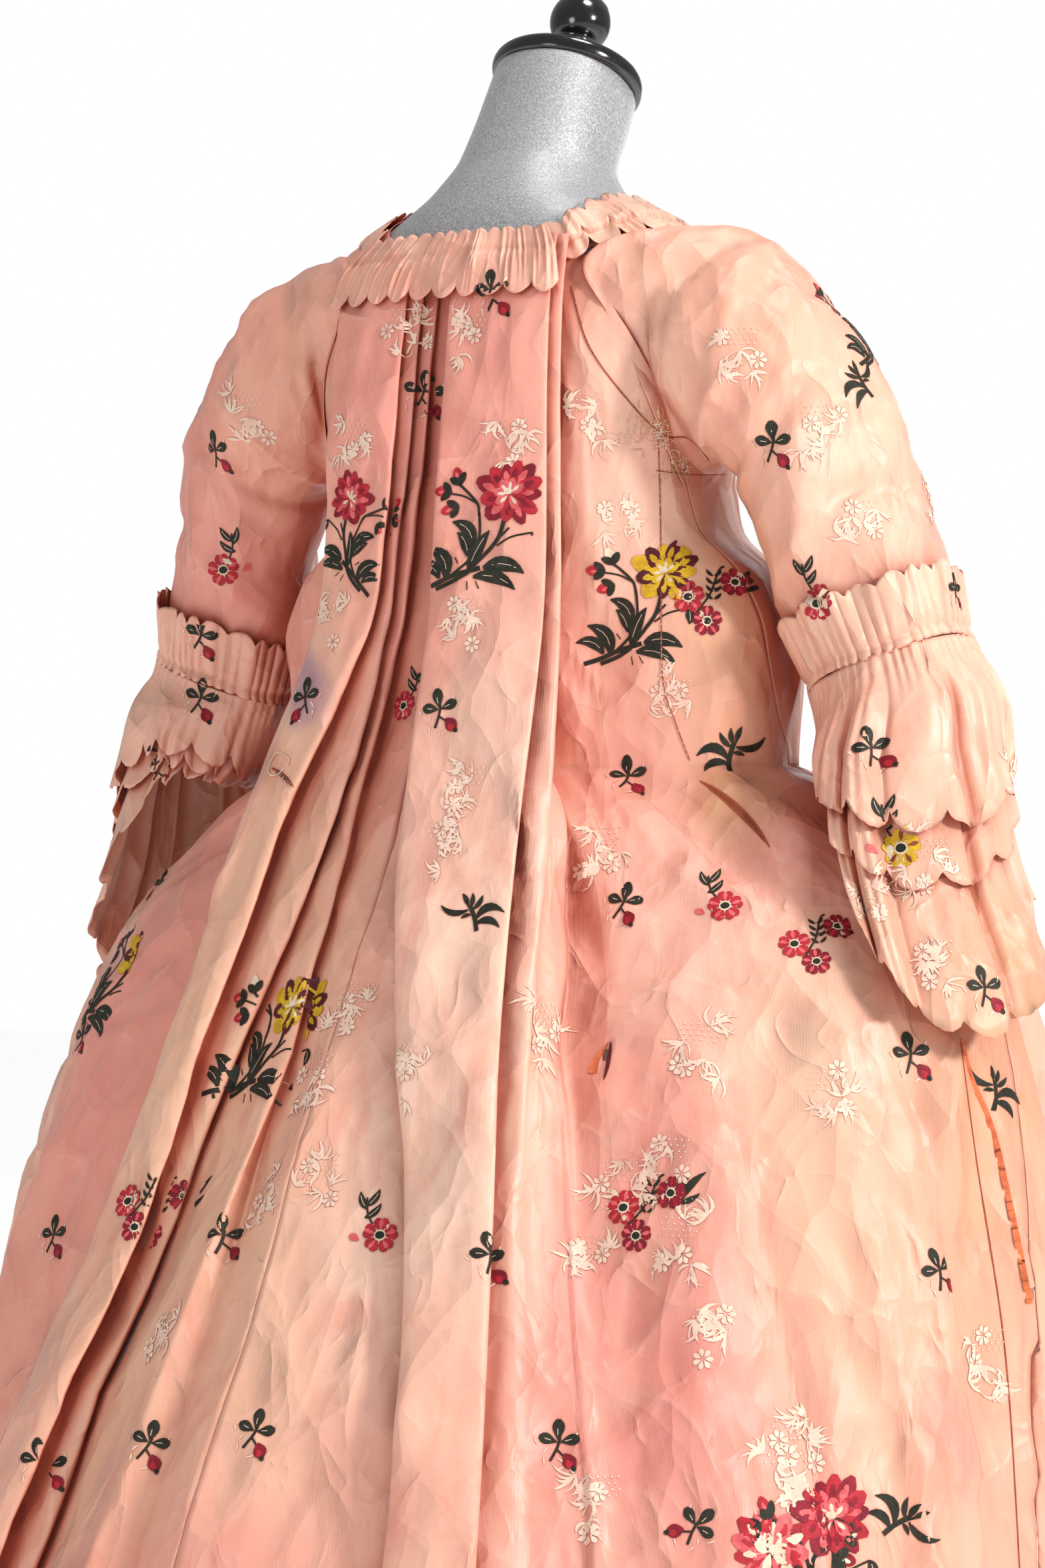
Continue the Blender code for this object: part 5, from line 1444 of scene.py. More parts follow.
def jersey_look():
    """Knitted silver cover of the form, with a fine shimmer."""
    look = Look("form_jersey", (0.40, 0.40, 0.41), 0.42, 0.25)
    here = look.place()
    shimmer = look.ramp(look.noise(look.place(scale=(1, 1, 0.5)), 900.0, 2.0, 0.7), 0.35, 0.70)
    paint = look.mix(shimmer, (0.27, 0.27, 0.28), (0.60, 0.60, 0.61))
    soft = look.ramp(look.noise(here, 9.0, 3.0), 0.35, 0.7, 0.0, 0.35)
    look.colour(look.mix(soft, paint, (0.34, 0.33, 0.34)))
    knit = look.node("ShaderNodeTexWave", wave_type="BANDS", bands_direction="DIAGONAL")
    look.join(here, knit.inputs["Vector"])
    knit.inputs["Scale"].default_value = 420.0
    knit.inputs["Distortion"].default_value = 1.2
    normal = look.bump(knit.outputs["Fac"], 0.30, 0.0004)
    look.join(look.bump(look.noise(here, 700.0, 3.0), 0.35, 0.0004, normal),
              look.shader.inputs["Normal"])
    return look.finish(Sheen_Weight=0.30, Sheen_Roughness=0.30, Specular_IOR_Level=0.6)


def lacquer_look():
    """Black lacquered wood, rubbed brown where it is handled."""
    look = Look("black_lacquer", (0.006, 0.005, 0.005), 0.14)
    here = look.place()
    worn = look.ramp(look.noise(here, 46.0, 5.0, 0.7, 0.6), 0.60, 0.74, 0.0, 0.65)
    look.colour(look.mix(worn, (0.006, 0.005, 0.005), (0.055, 0.022, 0.010)))
    look.join(look.ramp(look.noise(here, 120.0, 4.0, 0.6), 0.3, 0.7, 0.10, 0.24),
              look.shader.inputs["Roughness"])
    look.join(look.bump(look.noise(here, 60.0, 2.0), 0.10, 0.0006), look.shader.inputs["Normal"])
    return look.finish(Coat_Weight=0.6, Coat_Roughness=0.08)


def thread_look(name, colour, shade, roughness=0.62):
    """Floats of woven or sewn thread, lighter and darker from thread to thread."""
    look = Look("thread_" + name, colour, roughness)
    lines = look.noise(look.place(scale=(380.0, 380.0, 900.0)), 1.0, 2.0, 0.6)
    tone = look.ramp(look.noise(look.place(), 90.0, 4.0, 0.7), 0.38, 0.66)
    paint = look.mix(tone, colour, shade)
    look.colour(look.mix(look.ramp(lines, 0.4, 0.7, 0.0, 0.5), paint, shade))
    look.join(look.bump(lines, 0.5, 0.0005), look.shader.inputs["Normal"])
    return look.finish(Specular_IOR_Level=0.3)


def floor_look():
    look = Look("studio_floor", (0.86, 0.86, 0.86), 0.8)
    soft = look.ramp(look.noise(look.place(), 0.6, 2.0), 0.3, 0.7)
    look.colour(look.mix(soft, (0.86, 0.86, 0.86), (0.88, 0.88, 0.88)))
    return look.finish(Emission_Color=(1.0, 1.0, 1.0, 1.0), Emission_Strength=0.66)


# ---- studio ---------------------------------------------------------------------------
VIEW_TURN = math.radians(33)            # how far behind the wearer's right the camera stands
VIEW_HEIGHT, VIEW_DISTANCE = 0.987, 2.7
PHOTO_ACROSS, PHOTO_DOWN = 1568, 2352   # the photograph's size in pixels
PIXELS_PER_METRE = 2050                 # at the axis of the form
AXIS_LEFT_OF_MIDDLE = -6 / PIXELS_PER_METRE
SENSOR = 36.0

view_back = Vector((-math.sin(VIEW_TURN), math.cos(VIEW_TURN), 0.0))
view_right = Vector((-math.cos(VIEW_TURN), -math.sin(VIEW_TURN), 0.0))


def make_camera():
    data = bpy.data.cameras.new("camera")
    data.sensor_fit = "VERTICAL"
    data.sensor_height = SENSOR
    data.lens = VIEW_DISTANCE * PIXELS_PER_METRE * SENSOR / PHOTO_DOWN
    data.clip_start, data.clip_end = 0.05, 60.0
    made = bpy.data.objects.new("camera", data)
    made.location = (Vector((0, 0, VIEW_HEIGHT)) + view_back * VIEW_DISTANCE
                     + view_right * AXIS_LEFT_OF_MIDDLE)
    made.rotation_euler = (math.pi / 2, 0, math.pi + VIEW_TURN)
    bpy.context.scene.collection.objects.link(made)
    bpy.context.scene.camera = made
    return made


def area_light(name, place, target, size, power, colour=(1.0, 1.0, 1.0)):
    data = bpy.data.lights.new(name, "AREA")
    data.shape = "DISK"
    data.size, data.energy, data.color = size, power, colour
    made = bpy.data.objects.new(name, data)
    made.location = place
    way = Vector(target) - Vector(place)
    made.rotation_euler = way.to_track_quat("-Z", "Y").to_euler()
    bpy.context.scene.collection.objects.link(made)
    return made


def light_from(across, back, up):
    """A place given from the camera's side: right of it, towards it and up, in metres."""
    return tuple(view_right * across + view_back * back + Vector((0, 0, up)))


ROOM_LIGHT = 0.34
FLOOR_HALF_SIZE = 9.0


def make_studio():
    middle = (0.0, 0.0, 0.9)
    area_light("key", light_from(2.2, 1.9, 2.1), middle, 0.50, 75.0, (1.0, 0.985, 0.96))
    area_light("fill", light_from(-1.6, 2.4, 1.6), middle, 1.0, 14.0)
    area_light("top", light_from(0.6, 0.4, 3.2), middle, 0.7, 22.0)
    area_light("far_side", light_from(1.2, -2.8, 1.8), middle, 1.6, 12.0)
    world = bpy.data.worlds.new("studio")
    world.use_nodes = True
    world.node_tree.nodes["Background"].inputs["Color"].default_value = (1.0, 1.0, 1.0, 1.0)
    # The paper behind the gown is lit brighter than the room.
    strength = world.node_tree.nodes.new("ShaderNodeMath")
    strength.operation = "MULTIPLY_ADD"
    strength.inputs[1].default_value = 1.0 - ROOM_LIGHT
    strength.inputs[2].default_value = ROOM_LIGHT
    seen = world.node_tree.nodes.new("ShaderNodeLightPath")
    world.node_tree.links.new(seen.outputs["Is Camera Ray"], strength.inputs[0])
    world.node_tree.links.new(strength.outputs[0],
                              world.node_tree.nodes["Background"].inputs["Strength"])
    bpy.context.scene.world = world
    size = FLOOR_HALF_SIZE
    floor = make_mesh("studio_floor", [(-size, -size, 0), (size, -size, 0), (size, size, 0),
                                       (-size, size, 0)], [(0, 1, 2, 3)], floor_look(), False)


# ---- woven flowers --------------------------------------------------------------------
# Threads: colour and its darker strand.
THREADS = {
    "green": ((0.026, 0.026, 0.014), (0.010, 0.011, 0.007)),
    "crimson": ((0.300, 0.008, 0.024), (0.160, 0.006, 0.016)),
    "red": ((0.520, 0.022, 0.036), (0.330, 0.012, 0.024)),
    "pink": ((0.760, 0.160, 0.160), (0.560, 0.070, 0.080)),
    "maroon": ((0.120, 0.012, 0.018), (0.060, 0.008, 0.010)),
    "cream": ((0.820, 0.700, 0.540), (0.640, 0.500, 0.350)),
    "yellow": ((0.740, 0.480, 0.020), (0.520, 0.290, 0.015)),
    "rust": ((0.300, 0.070, 0.026), (0.180, 0.036, 0.016)),
    "shadow": ((0.420, 0.085, 0.040), (0.280, 0.050, 0.026)),
    "lace": ((0.865, 0.665, 0.530), (0.800, 0.515, 0.400)),
    "straw": ((0.760, 0.560, 0.240), (0.620, 0.420, 0.160)),
    "ember": ((0.780, 0.210, 0.080), (0.560, 0.120, 0.050)),
}
MM = 0.001
STRETCH = 0.0022           # the most that a thread lengthens over a fold
LAY_HEIGHT = 0.00045       # the lowest thread floats over the silk's surface
LAYER_HEIGHT = 0.00005     # one thread over another
REACH = 0.05               # how far off the silk the search for it starts


def strip(line, half_widths, across=3):
    """A flat strip round a line of 2-D points, in rows across it."""
    line = np.array(line, float)
    way = np.gradient(line, axis=0)
    way /= np.maximum(np.linalg.norm(way, axis=1, keepdims=True), 1e-9)
    square = np.stack([-way[:, 1], way[:, 0]], axis=1)
    places = np.linspace(-1, 1, across)
    return line[:, None] + square[:, None] * (np.array(half_widths)[:, None] * places)[..., None]


def bowed(start, end, bow, cells):
    """Points from start to end on a curve that bows to the left by a share of its length."""
    start, end = np.array(start, float), np.array(end, float)
    way = end - start
    t = np.linspace(0, 1, cells + 1)[:, None]
    square = np.array([-way[1], way[0]])
    return start + way * t + square * bow * 4 * t * (1 - t)


def leaf(start, end, bow, width, thread="green", layer=0, cells=7, across=3):
    t = np.linspace(0, 1, cells + 1)
    half = width / 2 * np.sin(math.pi * np.clip(t, 0.03, 0.985) ** 0.85) ** 0.8
    return thread, layer, strip(bowed(start, end, bow, cells), half, across)


def vein(start, end, bow, width, layer=1):
    """The pale cut between the two halves of a leaf."""
    line = bowed(start, end, bow, 5)[1:-1]
    return "lace", layer, strip(line, np.full(len(line), width / 2), 2)


def stem(points, width, thread="green", layer=0):
    line = spline_weights(len(points), 4 * len(points), False) @ np.array(points, float)
    return thread, layer, strip(line, np.full(len(line), width / 2), 2)


def petal(centre, turn, inner, outer, width, thread, layer, blunt=1.5):
    way = np.array([math.cos(math.radians(turn)), math.sin(math.radians(turn))])
    centre = np.array(centre, float)
    t = np.linspace(0, 1, 7)
    half = width / 2 * np.sin(math.pi * np.clip(t, 0.03, 0.97) ** blunt) ** 0.6
    line = centre + way * (inner + (outer - inner) * t)[:, None]
    return thread, layer, strip(line, half)


def disc(centre, radius, thread, layer, squash=1.0, around=14):
    rings = np.array([0.02, 1.0]) if around < 10 else np.array([0.02, 0.5, 1.0])
    turns = np.linspace(0, 2 * math.pi, around + 1)
    grid = np.array([[(r * math.cos(t), r * math.sin(t) * squash) for t in turns] for r in rings])
    return thread, layer, grid * radius + np.array(centre, float)


PEONY_PETALS = (  # direction, length, width in mm
    (100, 20, 9), (76, 23, 9), (52, 25, 10), (26, 23, 10), (2, 21, 9), (128, 22, 10),
    (158, 26, 12), (190, 21, 11), (226, 22, 14), (-32, 22, 9), (-62, 22, 9), (-96, 18, 9),
)


def peony(centre, inner, middle, outer, heart):
    made = []
    for k, (turn, length, width) in enumerate(PEONY_PETALS):
        thread = (outer, middle)[k % 2]
        made.append(petal(centre, turn, 2, length, width, thread, 2 + k % 2))
        made.append(petal(centre, turn + 3, 3, length * 0.78, width * 0.45,
                          (inner, outer)[k % 2], 4))
        made.append(petal(centre, turn - 9, 3, length * 0.55, width * 0.34, middle, 5))
    for turn in (35, 80, 125, 170, 215, 300):
        made.append(petal(centre, turn, 0.5, 11, 6, inner, 6))
        made.append(petal(centre, turn + 8, 2, 8, 2.2, heart, 7))
    made.append(disc((centre[0] - 1, centre[1] + 2), 3.0, heart, 8, 0.7))
    return made


def bud(x, y, turn, tip, thread="green"):
    """A closed bud between two dark sepals."""
    made = [petal((x, y), turn, 0, 11, 7, tip, 2, 1.2),
            petal((x, y), turn + 6, 2, 8, 2.4, "pink" if tip == "red" else "cream", 3, 1.2)]
    return made + [petal((x, y), turn + lean, -2, 8, 5.5, thread, 4, 1.1) for lean in (48, -48)]


# Bouquet: places in mm from the middle of its woody foot.
BOUQUET_STEMS = (
    (((-20, -5), (-8, -1), (4, 4), (22, 9)), 3.2), (((-9, -5), (4, 0), (14, 6)), 2.8),
    (((12, 5), (24, 18), (33, 30), (37, 46)), 2.6), (((0, 2), (14, 15), (19, 30), (18, 46)), 1.8),
    (((18, 44), (16, 52), (8, 60), (2, 65)), 1.8), (((16, 52), (6, 57), (-4, 59)), 1.2),
    (((32, 24), (42, 30), (56, 33)), 1.2), (((30, 26), (40, 36)), 1.4),
    (((14, 0), (15, -6)), 0.7), (((20, 0), (23, -5)), 0.7), (((6, 12), (3, 16)), 0.8),
)
BOUQUET_LEAVES = (  # foot, tip, bow, width
    ((-2, 2), (-17, 22), -0.22, 8.5), ((-7, 2), (-25, 10), -0.24, 6.5),
    ((15, 24), (-1, 40), -0.20, 7.5), ((12, 17), (3, 33), -0.12, 6.0),
    ((14, 8), (26, 34), 0.06, 7.0), ((24, 9), (52, 6), 0.16, 8.0), ((18, 3), (47, -5), 0.14, 7.0),
    ((56, 33), (57, 22), 0.10, 5.0),
)
BOUQUET_BUDS = ((2, 66, 110, "bud_a"), (-5, 60, 175, "bud_b"), (1, 50, 200, "bud_b"))


def bouquet(kind):
    paint = {
        "red": ("pink", "red", "crimson", "cream", "red", "red"),
        "yellow": ("yellow", "maroon", "yellow", "cream", "cream", "red"),
        "pink": ("cream", "pink", "red", "cream", "pink", "crimson"),
    }[kind]
    made = [stem(points, width) for points, width in BOUQUET_STEMS]
    for start, end, bow, width in BOUQUET_LEAVES:
        made += [leaf(start, end, bow, 1.3 * width), vein(start, end, bow, 0.35)]
    for x, y, turn, which in BOUQUET_BUDS:
        made += bud(x, y, turn, paint[4] if which == "bud_a" else paint[5])
    return made + peony((39, 58), *paint[:4])


def daisy(centre, radius, first, second, layer=2):
    """Heart-shaped petals with cream between them, round a dark eye."""
    made = [disc(centre, 0.80 * radius, "cream", layer - 1)]
    for k in range(5):
        turn = 72 * k + 18
        for lean in (-13, 13):
            made.append(petal(centre, turn + lean, 0.22 * radius, radius, 0.56 * radius,
                              first, layer))
        made.append(petal(centre, turn, 0.35 * radius, 0.92 * radius, 0.24 * radius,
                          second, layer + 1))
    return made + [disc(centre, 0.34 * radius, "cream", layer + 2),
                   disc(centre, 0.27 * radius, "green", layer + 3, 0.85)]


def three_flowers(_):
    """Two daisies, a half-open one and a twig of narrow leaves."""
    made = [stem(((-4, -2), (6, 12), (12, 30), (16, 34)), 1.4), stem(((8, 16), (26, 18)), 1.2)]
    for y in (8, 14, 20, 26):
        made.append(leaf((8, y), (3, y + 5), 0.1, 2.4))
        made.append(leaf((9, y), (14, y + 5), -0.1, 2.4))
    made += daisy((-10, 10), 12, "red", "pink") + daisy((4, -8), 11, "crimson", "pink")
    made += daisy((24, 22), 11, "crimson", "red")
    for end, bow, width in (((46, 38), 0.05, 5), ((36, 34), 0.10, 5), ((44, 24), -0.1, 4)):
        made.append(leaf((30, 16), end, bow, width))
    return made


def one_daisy(colour):
    paint = ("yellow", "rust") if colour == "yellow" else ("red", "pink")
    made = daisy((0, 0), 12, *paint) + [stem(((-3, 4), (-10, 14), (-12, 26)), 1.2)]
    for start, end, bow in (((-11, 18), (-17, 30), 0.1), ((-12, 20), (-4, 32), -0.1),
                            ((-12, 12), (-2, 22), -0.12)):
        made += [leaf(start, end, bow, 5.0), vein(start, end, bow, 0.35)]
    return made + [petal((-14, -4), 150, 0, 8, 5, "pink", 2)]


def leaf_spray(_):
    made = [stem(((2, -14), (3, -4), (6, 6)), 3.4), stem(((6, 4), (10, 12)), 1.6)]
    for start, end, bow, width in (
            ((2, -4), (-20, -2), -0.30, 7), ((2, -8), (-16, -14), -0.22, 6),
            ((4, 4), (-4, 14), 0.10, 4), ((6, 6), (4, 17), 0.08, 4), ((8, 8), (12, 18), 0.05, 4),
            ((8, 4), (30, 12), -0.20, 5), ((6, 0), (14, -2), 0.10, 3)):
        made.append(leaf(start, end, bow, width))
    return made


def round_leaf(foot, turn, length, width):
    """A short leaf, widest near its tip."""
    return petal(foot, turn, 1.0, length, width, "green", 1, 1.6)


def sprig(_):
    """Three round leaves on a twig with one berry and a few floats of cream."""
    made = [stem(((-3, -11), (0, -3), (1, 3)), 1.5), stem(((0, -4), (5, -8)), 1.1)]
    for turn, length, width in ((97, 13.5, 7.0), (168, 11.5, 6.6), (18, 12.0, 6.6)):
        made.append(round_leaf((0.5, 0), turn, length, width))
        way = (math.cos(math.radians(turn)), math.sin(math.radians(turn)))
        made.append(vein((3 * way[0], 3 * way[1]), (9 * way[0], 9 * way[1]), 0.0, 0.35, 2))
    made += [petal((4.5, -6), -52, 0, 10, 8.0, "crimson", 2, 1.2),
             petal((5.0, -8), -52, 2, 7, 4.0, "red", 3, 1.2),
             petal((9.5, -12.5), -52, 0, 3.6, 3.0, "green", 4, 1.0)]
    for x, y, turn in ((-8, -8, 60), (-6, -14, 100), (1, -16, 30), (9, 3, 70), (-11, -3, 120)):
        made.append(petal((x, y), turn, 0, 5, 1.0, "lace", 0))
    return made


def lace(kind):
    """A self-coloured motif: curling fans of thin leaves, a flower head and net dots."""
    draws = random.Random(kind)
    made = []
    for _ in range(5):
        foot = np.array([draws.uniform(-13, 13), draws.uniform(-18, 14)])
        first = draws.uniform(0, 360)
        for k in range(7):
            turn = math.radians(first + 21 * k + draws.uniform(-7, 7))
            length = draws.uniform(6, 13)
            end = foot + length * np.array([math.cos(turn), math.sin(turn)])
            made.append(leaf(foot, end, draws.uniform(-0.3, 0.3), draws.uniform(0.9, 2.2),
                             "lace", 0, 5, 2))
    for _ in range(2):
        at = (draws.uniform(-12, 12), draws.uniform(-16, 12))
        for k in range(7):
            made.append(petal(at, 51 * k, 1, 5, 2.6, "lace", 1))
    for k in range(24):
        place = (-9 + 3.4 * (k % 6) + 1.7 * (k // 6 % 2), 2 + 3.0 * (k // 6))
        made.append(disc(place, 0.6, "lace", 1, 1.0, 5))
    return made


def lens(start, end, bow, cells, half_width, power):
    """A narrow bowed opening with pointed ends."""
    swell = half_width * np.sin(math.pi * np.linspace(0.02, 0.98, cells + 1)) ** power
    return strip(bowed(start, end, bow, cells), swell)


def crack(_):
    """A worn crack with frayed threads across it; the dark lenses along it are painted shade inside
    the opening.
    """
    draws = random.Random(7)
    made = [("rust", 0, lens((-23, 0), (23, 0), 0.04, 12, 2.6, 0.5)),
            ("maroon", 1, lens((-19, 0.4), (19, 0.2), 0.04, 12, 1.1, 0.7))]
    for _ in range(46):
        x = draws.uniform(-22, 22)
        y = draws.choice((-1, 1)) * draws.uniform(0.8, 2.6)
        made.append(("shadow" if draws.random() < 0.5 else "cream", 2,
                     strip(bowed((x, y), (x + draws.uniform(-2, 2), y * draws.uniform(-1.4, 2.2)),
                                 0.1, 2), [0.16] * 3, 2)))
    return made


def loop(_):
    """A loop of cream thread."""
    line = [(12 * math.cos(t) * (1 + 0.10 * math.sin(2 * t)),
             10 * math.sin(t) - 2 * math.sin(2 * t))
            for t in np.linspace(-0.4, 2 * math.pi - 0.9, 40)]
    return [("cream", 8, strip(line, [0.55] * len(line), 3))]


def fray(_):
    """Yellow-cream silk worn to loose threads."""
    draws = random.Random(11)
    made = []
    for _ in range(120):
        x, y = draws.gauss(0, 11), draws.gauss(0, 9)
        turn = draws.choice((0.1, 1.5)) + draws.uniform(-0.3, 0.3)
        long = draws.uniform(2.5, 8)
        end = (x + long * math.cos(turn), y + long * math.sin(turn))
        made.append((draws.choice(("lace", "cream", "straw")), 1,
                     strip(bowed((x, y), end, draws.uniform(-0.2, 0.2), 3), [0.28] * 4, 2)))
    return made


def slit(_):
    """The pocket slit, with its shaded inside."""
    return [("shadow", 0, lens((-38, 0), (38, 0), 0.05, 14, 2.9, 0.8)),
            ("rust", 1, lens((-34, 0), (34, 0), 0.055, 14, 1.3, 0.9))]


def tear(_):
    """A slit with its orange edge folded out beside it; the maroon lens is painted shade inside the
    slit.
    """
    return [("maroon", 0, lens((0, 14), (3, -13), 0.05, 8, 1.6, 0.6)),
            ("ember", 2, strip(bowed((-2, 13), (-8, -9), -0.10, 8),
                               np.linspace(0.8, 3.6, 9), 3))]


def draw(kind):
    """The cells of a motif, in mm, from its name and what follows the name."""
    name, _, variant = kind.partition(" ")
    return {"bouquet": bouquet, "flowers": three_flowers, "daisy": one_daisy,
            "spray": leaf_spray, "sprig": sprig, "lace": lace, "crack": crack, "loop": loop,
            "fray": fray, "slit": slit, "tear": tear}[name](variant)


class Loom:
    """Finds places on the silk and lays flat shapes on it, thread by thread."""

    def __init__(self, made):
        points, faces = [], []
        for piece, grid in made.values():
            if grid is None:
                continue
            wrap = any(word in piece.name for word in ("sleeve", "flounce", "cuff"))
            outer = grid + outward_normals(grid, wrap) * (SILK_WALL / 2)
            rows, cols = grid.shape[:2]
            around = cols if wrap else cols - 1
            r, c = np.meshgrid(np.arange(rows - 1), np.arange(around), indexing="ij")
            a, b = r * cols + c, r * cols + (c + 1) % cols
            faces += (np.stack([a, b, b + cols, a + cols], axis=-1).reshape(-1, 4)
                      + len(points)).tolist()
            points += outer.reshape(-1, 3).tolist()
        self.tree = BVHTree.FromPolygons(points, faces)
        self.laid = {thread: ([], []) for thread in THREADS}

    def frame(self, hit, way):
        """Right, up and outward directions of the cloth round a place."""
        total = Vector((0, 0, 0))
        for across, up in ((0, 0), (1, 0), (-1, 0), (0, 1), (0, -1)):
            side = Vector((0, 0, 1)).cross(way).normalized()
            start = hit - way * REACH + side * 0.012 * across + Vector((0, 0, 0.012 * up))
            _, normal, _, _ = self.tree.ray_cast(start, way, 0.08)
            if normal is not None:
                total += normal if normal.dot(way) < 0 else -normal
        out = total.normalized()
        right = Vector((0, 0, 1)).cross(out).normalized()
        return right, out.cross(right), out

    def through(self, across_px, down_px):
        """The silk that the photograph shows at a pixel, and the way that it is seen."""
        focus = VIEW_DISTANCE * PIXELS_PER_METRE
        start = (Vector((0, 0, VIEW_HEIGHT)) + view_back * VIEW_DISTANCE
                 + view_right * AXIS_LEFT_OF_MIDDLE)
        way = (-view_back + view_right * ((across_px - PHOTO_ACROSS / 2) / focus)
               + Vector((0, 0, (PHOTO_DOWN / 2 - down_px) / focus))).normalized()
        return self.tree.ray_cast(start, way, 6.0)[0], way

    def from_outside(self, turn, height, axis_x=0.0):
        """The silk at a ring angle (the wearer's left is positive) and height."""
        way = Vector((-math.sin(math.radians(turn)), -math.cos(math.radians(turn)), 0.0))
        start = Vector((axis_x, 0, height)) - way * 1.2
        return self.tree.ray_cast(start, way, 1.2)[0], way

    def lay(self, kind, hit, way, scale=1.0, turn=0.0, flip=1, give=0.020):
        if hit is None:
            return
        right, up, out = self.frame(hit, way)
        c, s = math.cos(math.radians(turn)), math.sin(math.radians(turn))
        size = MM * scale
        for thread, layer, shape in draw(kind):
            points, faces = self.laid[thread]
            rows, cols = shape.shape[:2]
            flat = shape.reshape(-1, 2) * size
            found = []
            for x, y in flat.tolist():
                x, y = (x * c - y * s) * flip, x * s + y * c
                start = hit + right * x + up * y + out * REACH
                place, normal, _, distance = self.tree.ray_cast(start, -out, REACH + give)
                if place is None or distance < REACH - give:
                    found.append(None)
                    continue
                normal = normal if normal.dot(out) > 0 else -normal
                found.append(place + normal * (LAY_HEIGHT + LAYER_HEIGHT * layer))
            for r in range(rows - 1):
                for k in range(cols - 1):
                    a = r * cols + k
                    cell = (a, a + 1, a + cols + 1, a + cols)
                    if any(found[i] is None for i in cell):
                        continue
                    longest = max((found[i] - found[j]).length - 1.8 * float(
                        np.linalg.norm(flat[i] - flat[j]))
                        for i, j in zip(cell, cell[1:] + cell[:1]))
                    if longest > STRETCH:
                        continue
                    base = len(points)
                    points += [tuple(found[i]) for i in cell]
                    faces.append((base, base + 1, base + 2, base + 3))

    def sew(self, corners, thread, step, length, width, height=0.0006):
        """Stitches along a line of the photograph's pixels; a full line where step <= length."""
        line = spline_weights(len(corners), 40 * len(corners), False) @ np.array(corners, float)
        found = []
        for across, down in line.tolist():
            hit, way = self.through(across, down)
            if hit is not None and (not found or (hit - found[-1][0]).length < 0.02):
                found.append((hit, way))
        points, faces = self.laid[thread]
        marks = np.concatenate([[0.0], np.cumsum([(b[0] - a[0]).length
                                                  for a, b in zip(found, found[1:])])])
        places = np.array([tuple(hit) for hit, _ in found])
        for start in np.arange(0.0, marks[-1] - length, step):
            ends = [Vector([np.interp(at, marks, places[:, k]) for k in range(3)])
                    for at in (start, start + length)]
            way = found[min(int(np.searchsorted(marks, start)), len(found) - 1)][1]
            along = (ends[1] - ends[0]).normalized()
            side = along.cross(way).normalized() * (width / 2)
            lift = -way * height
            base = len(points)
            points += [tuple(p + lift) for p in (ends[0] - side, ends[0] + side,
                                                 ends[1] + side, ends[1] - side)]
            faces.append((base, base + 1, base + 2, base + 3))

    def finish(self):
        """One piece for each thread colour."""
        made = []
        for thread, (points, faces) in self.laid.items():
            if not faces:
                continue
            look = thread_look(thread, *THREADS[thread])
            piece = make_mesh("brocade_" + thread, points, faces, look)
            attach(piece, "root")
            made.append(piece)
        return made


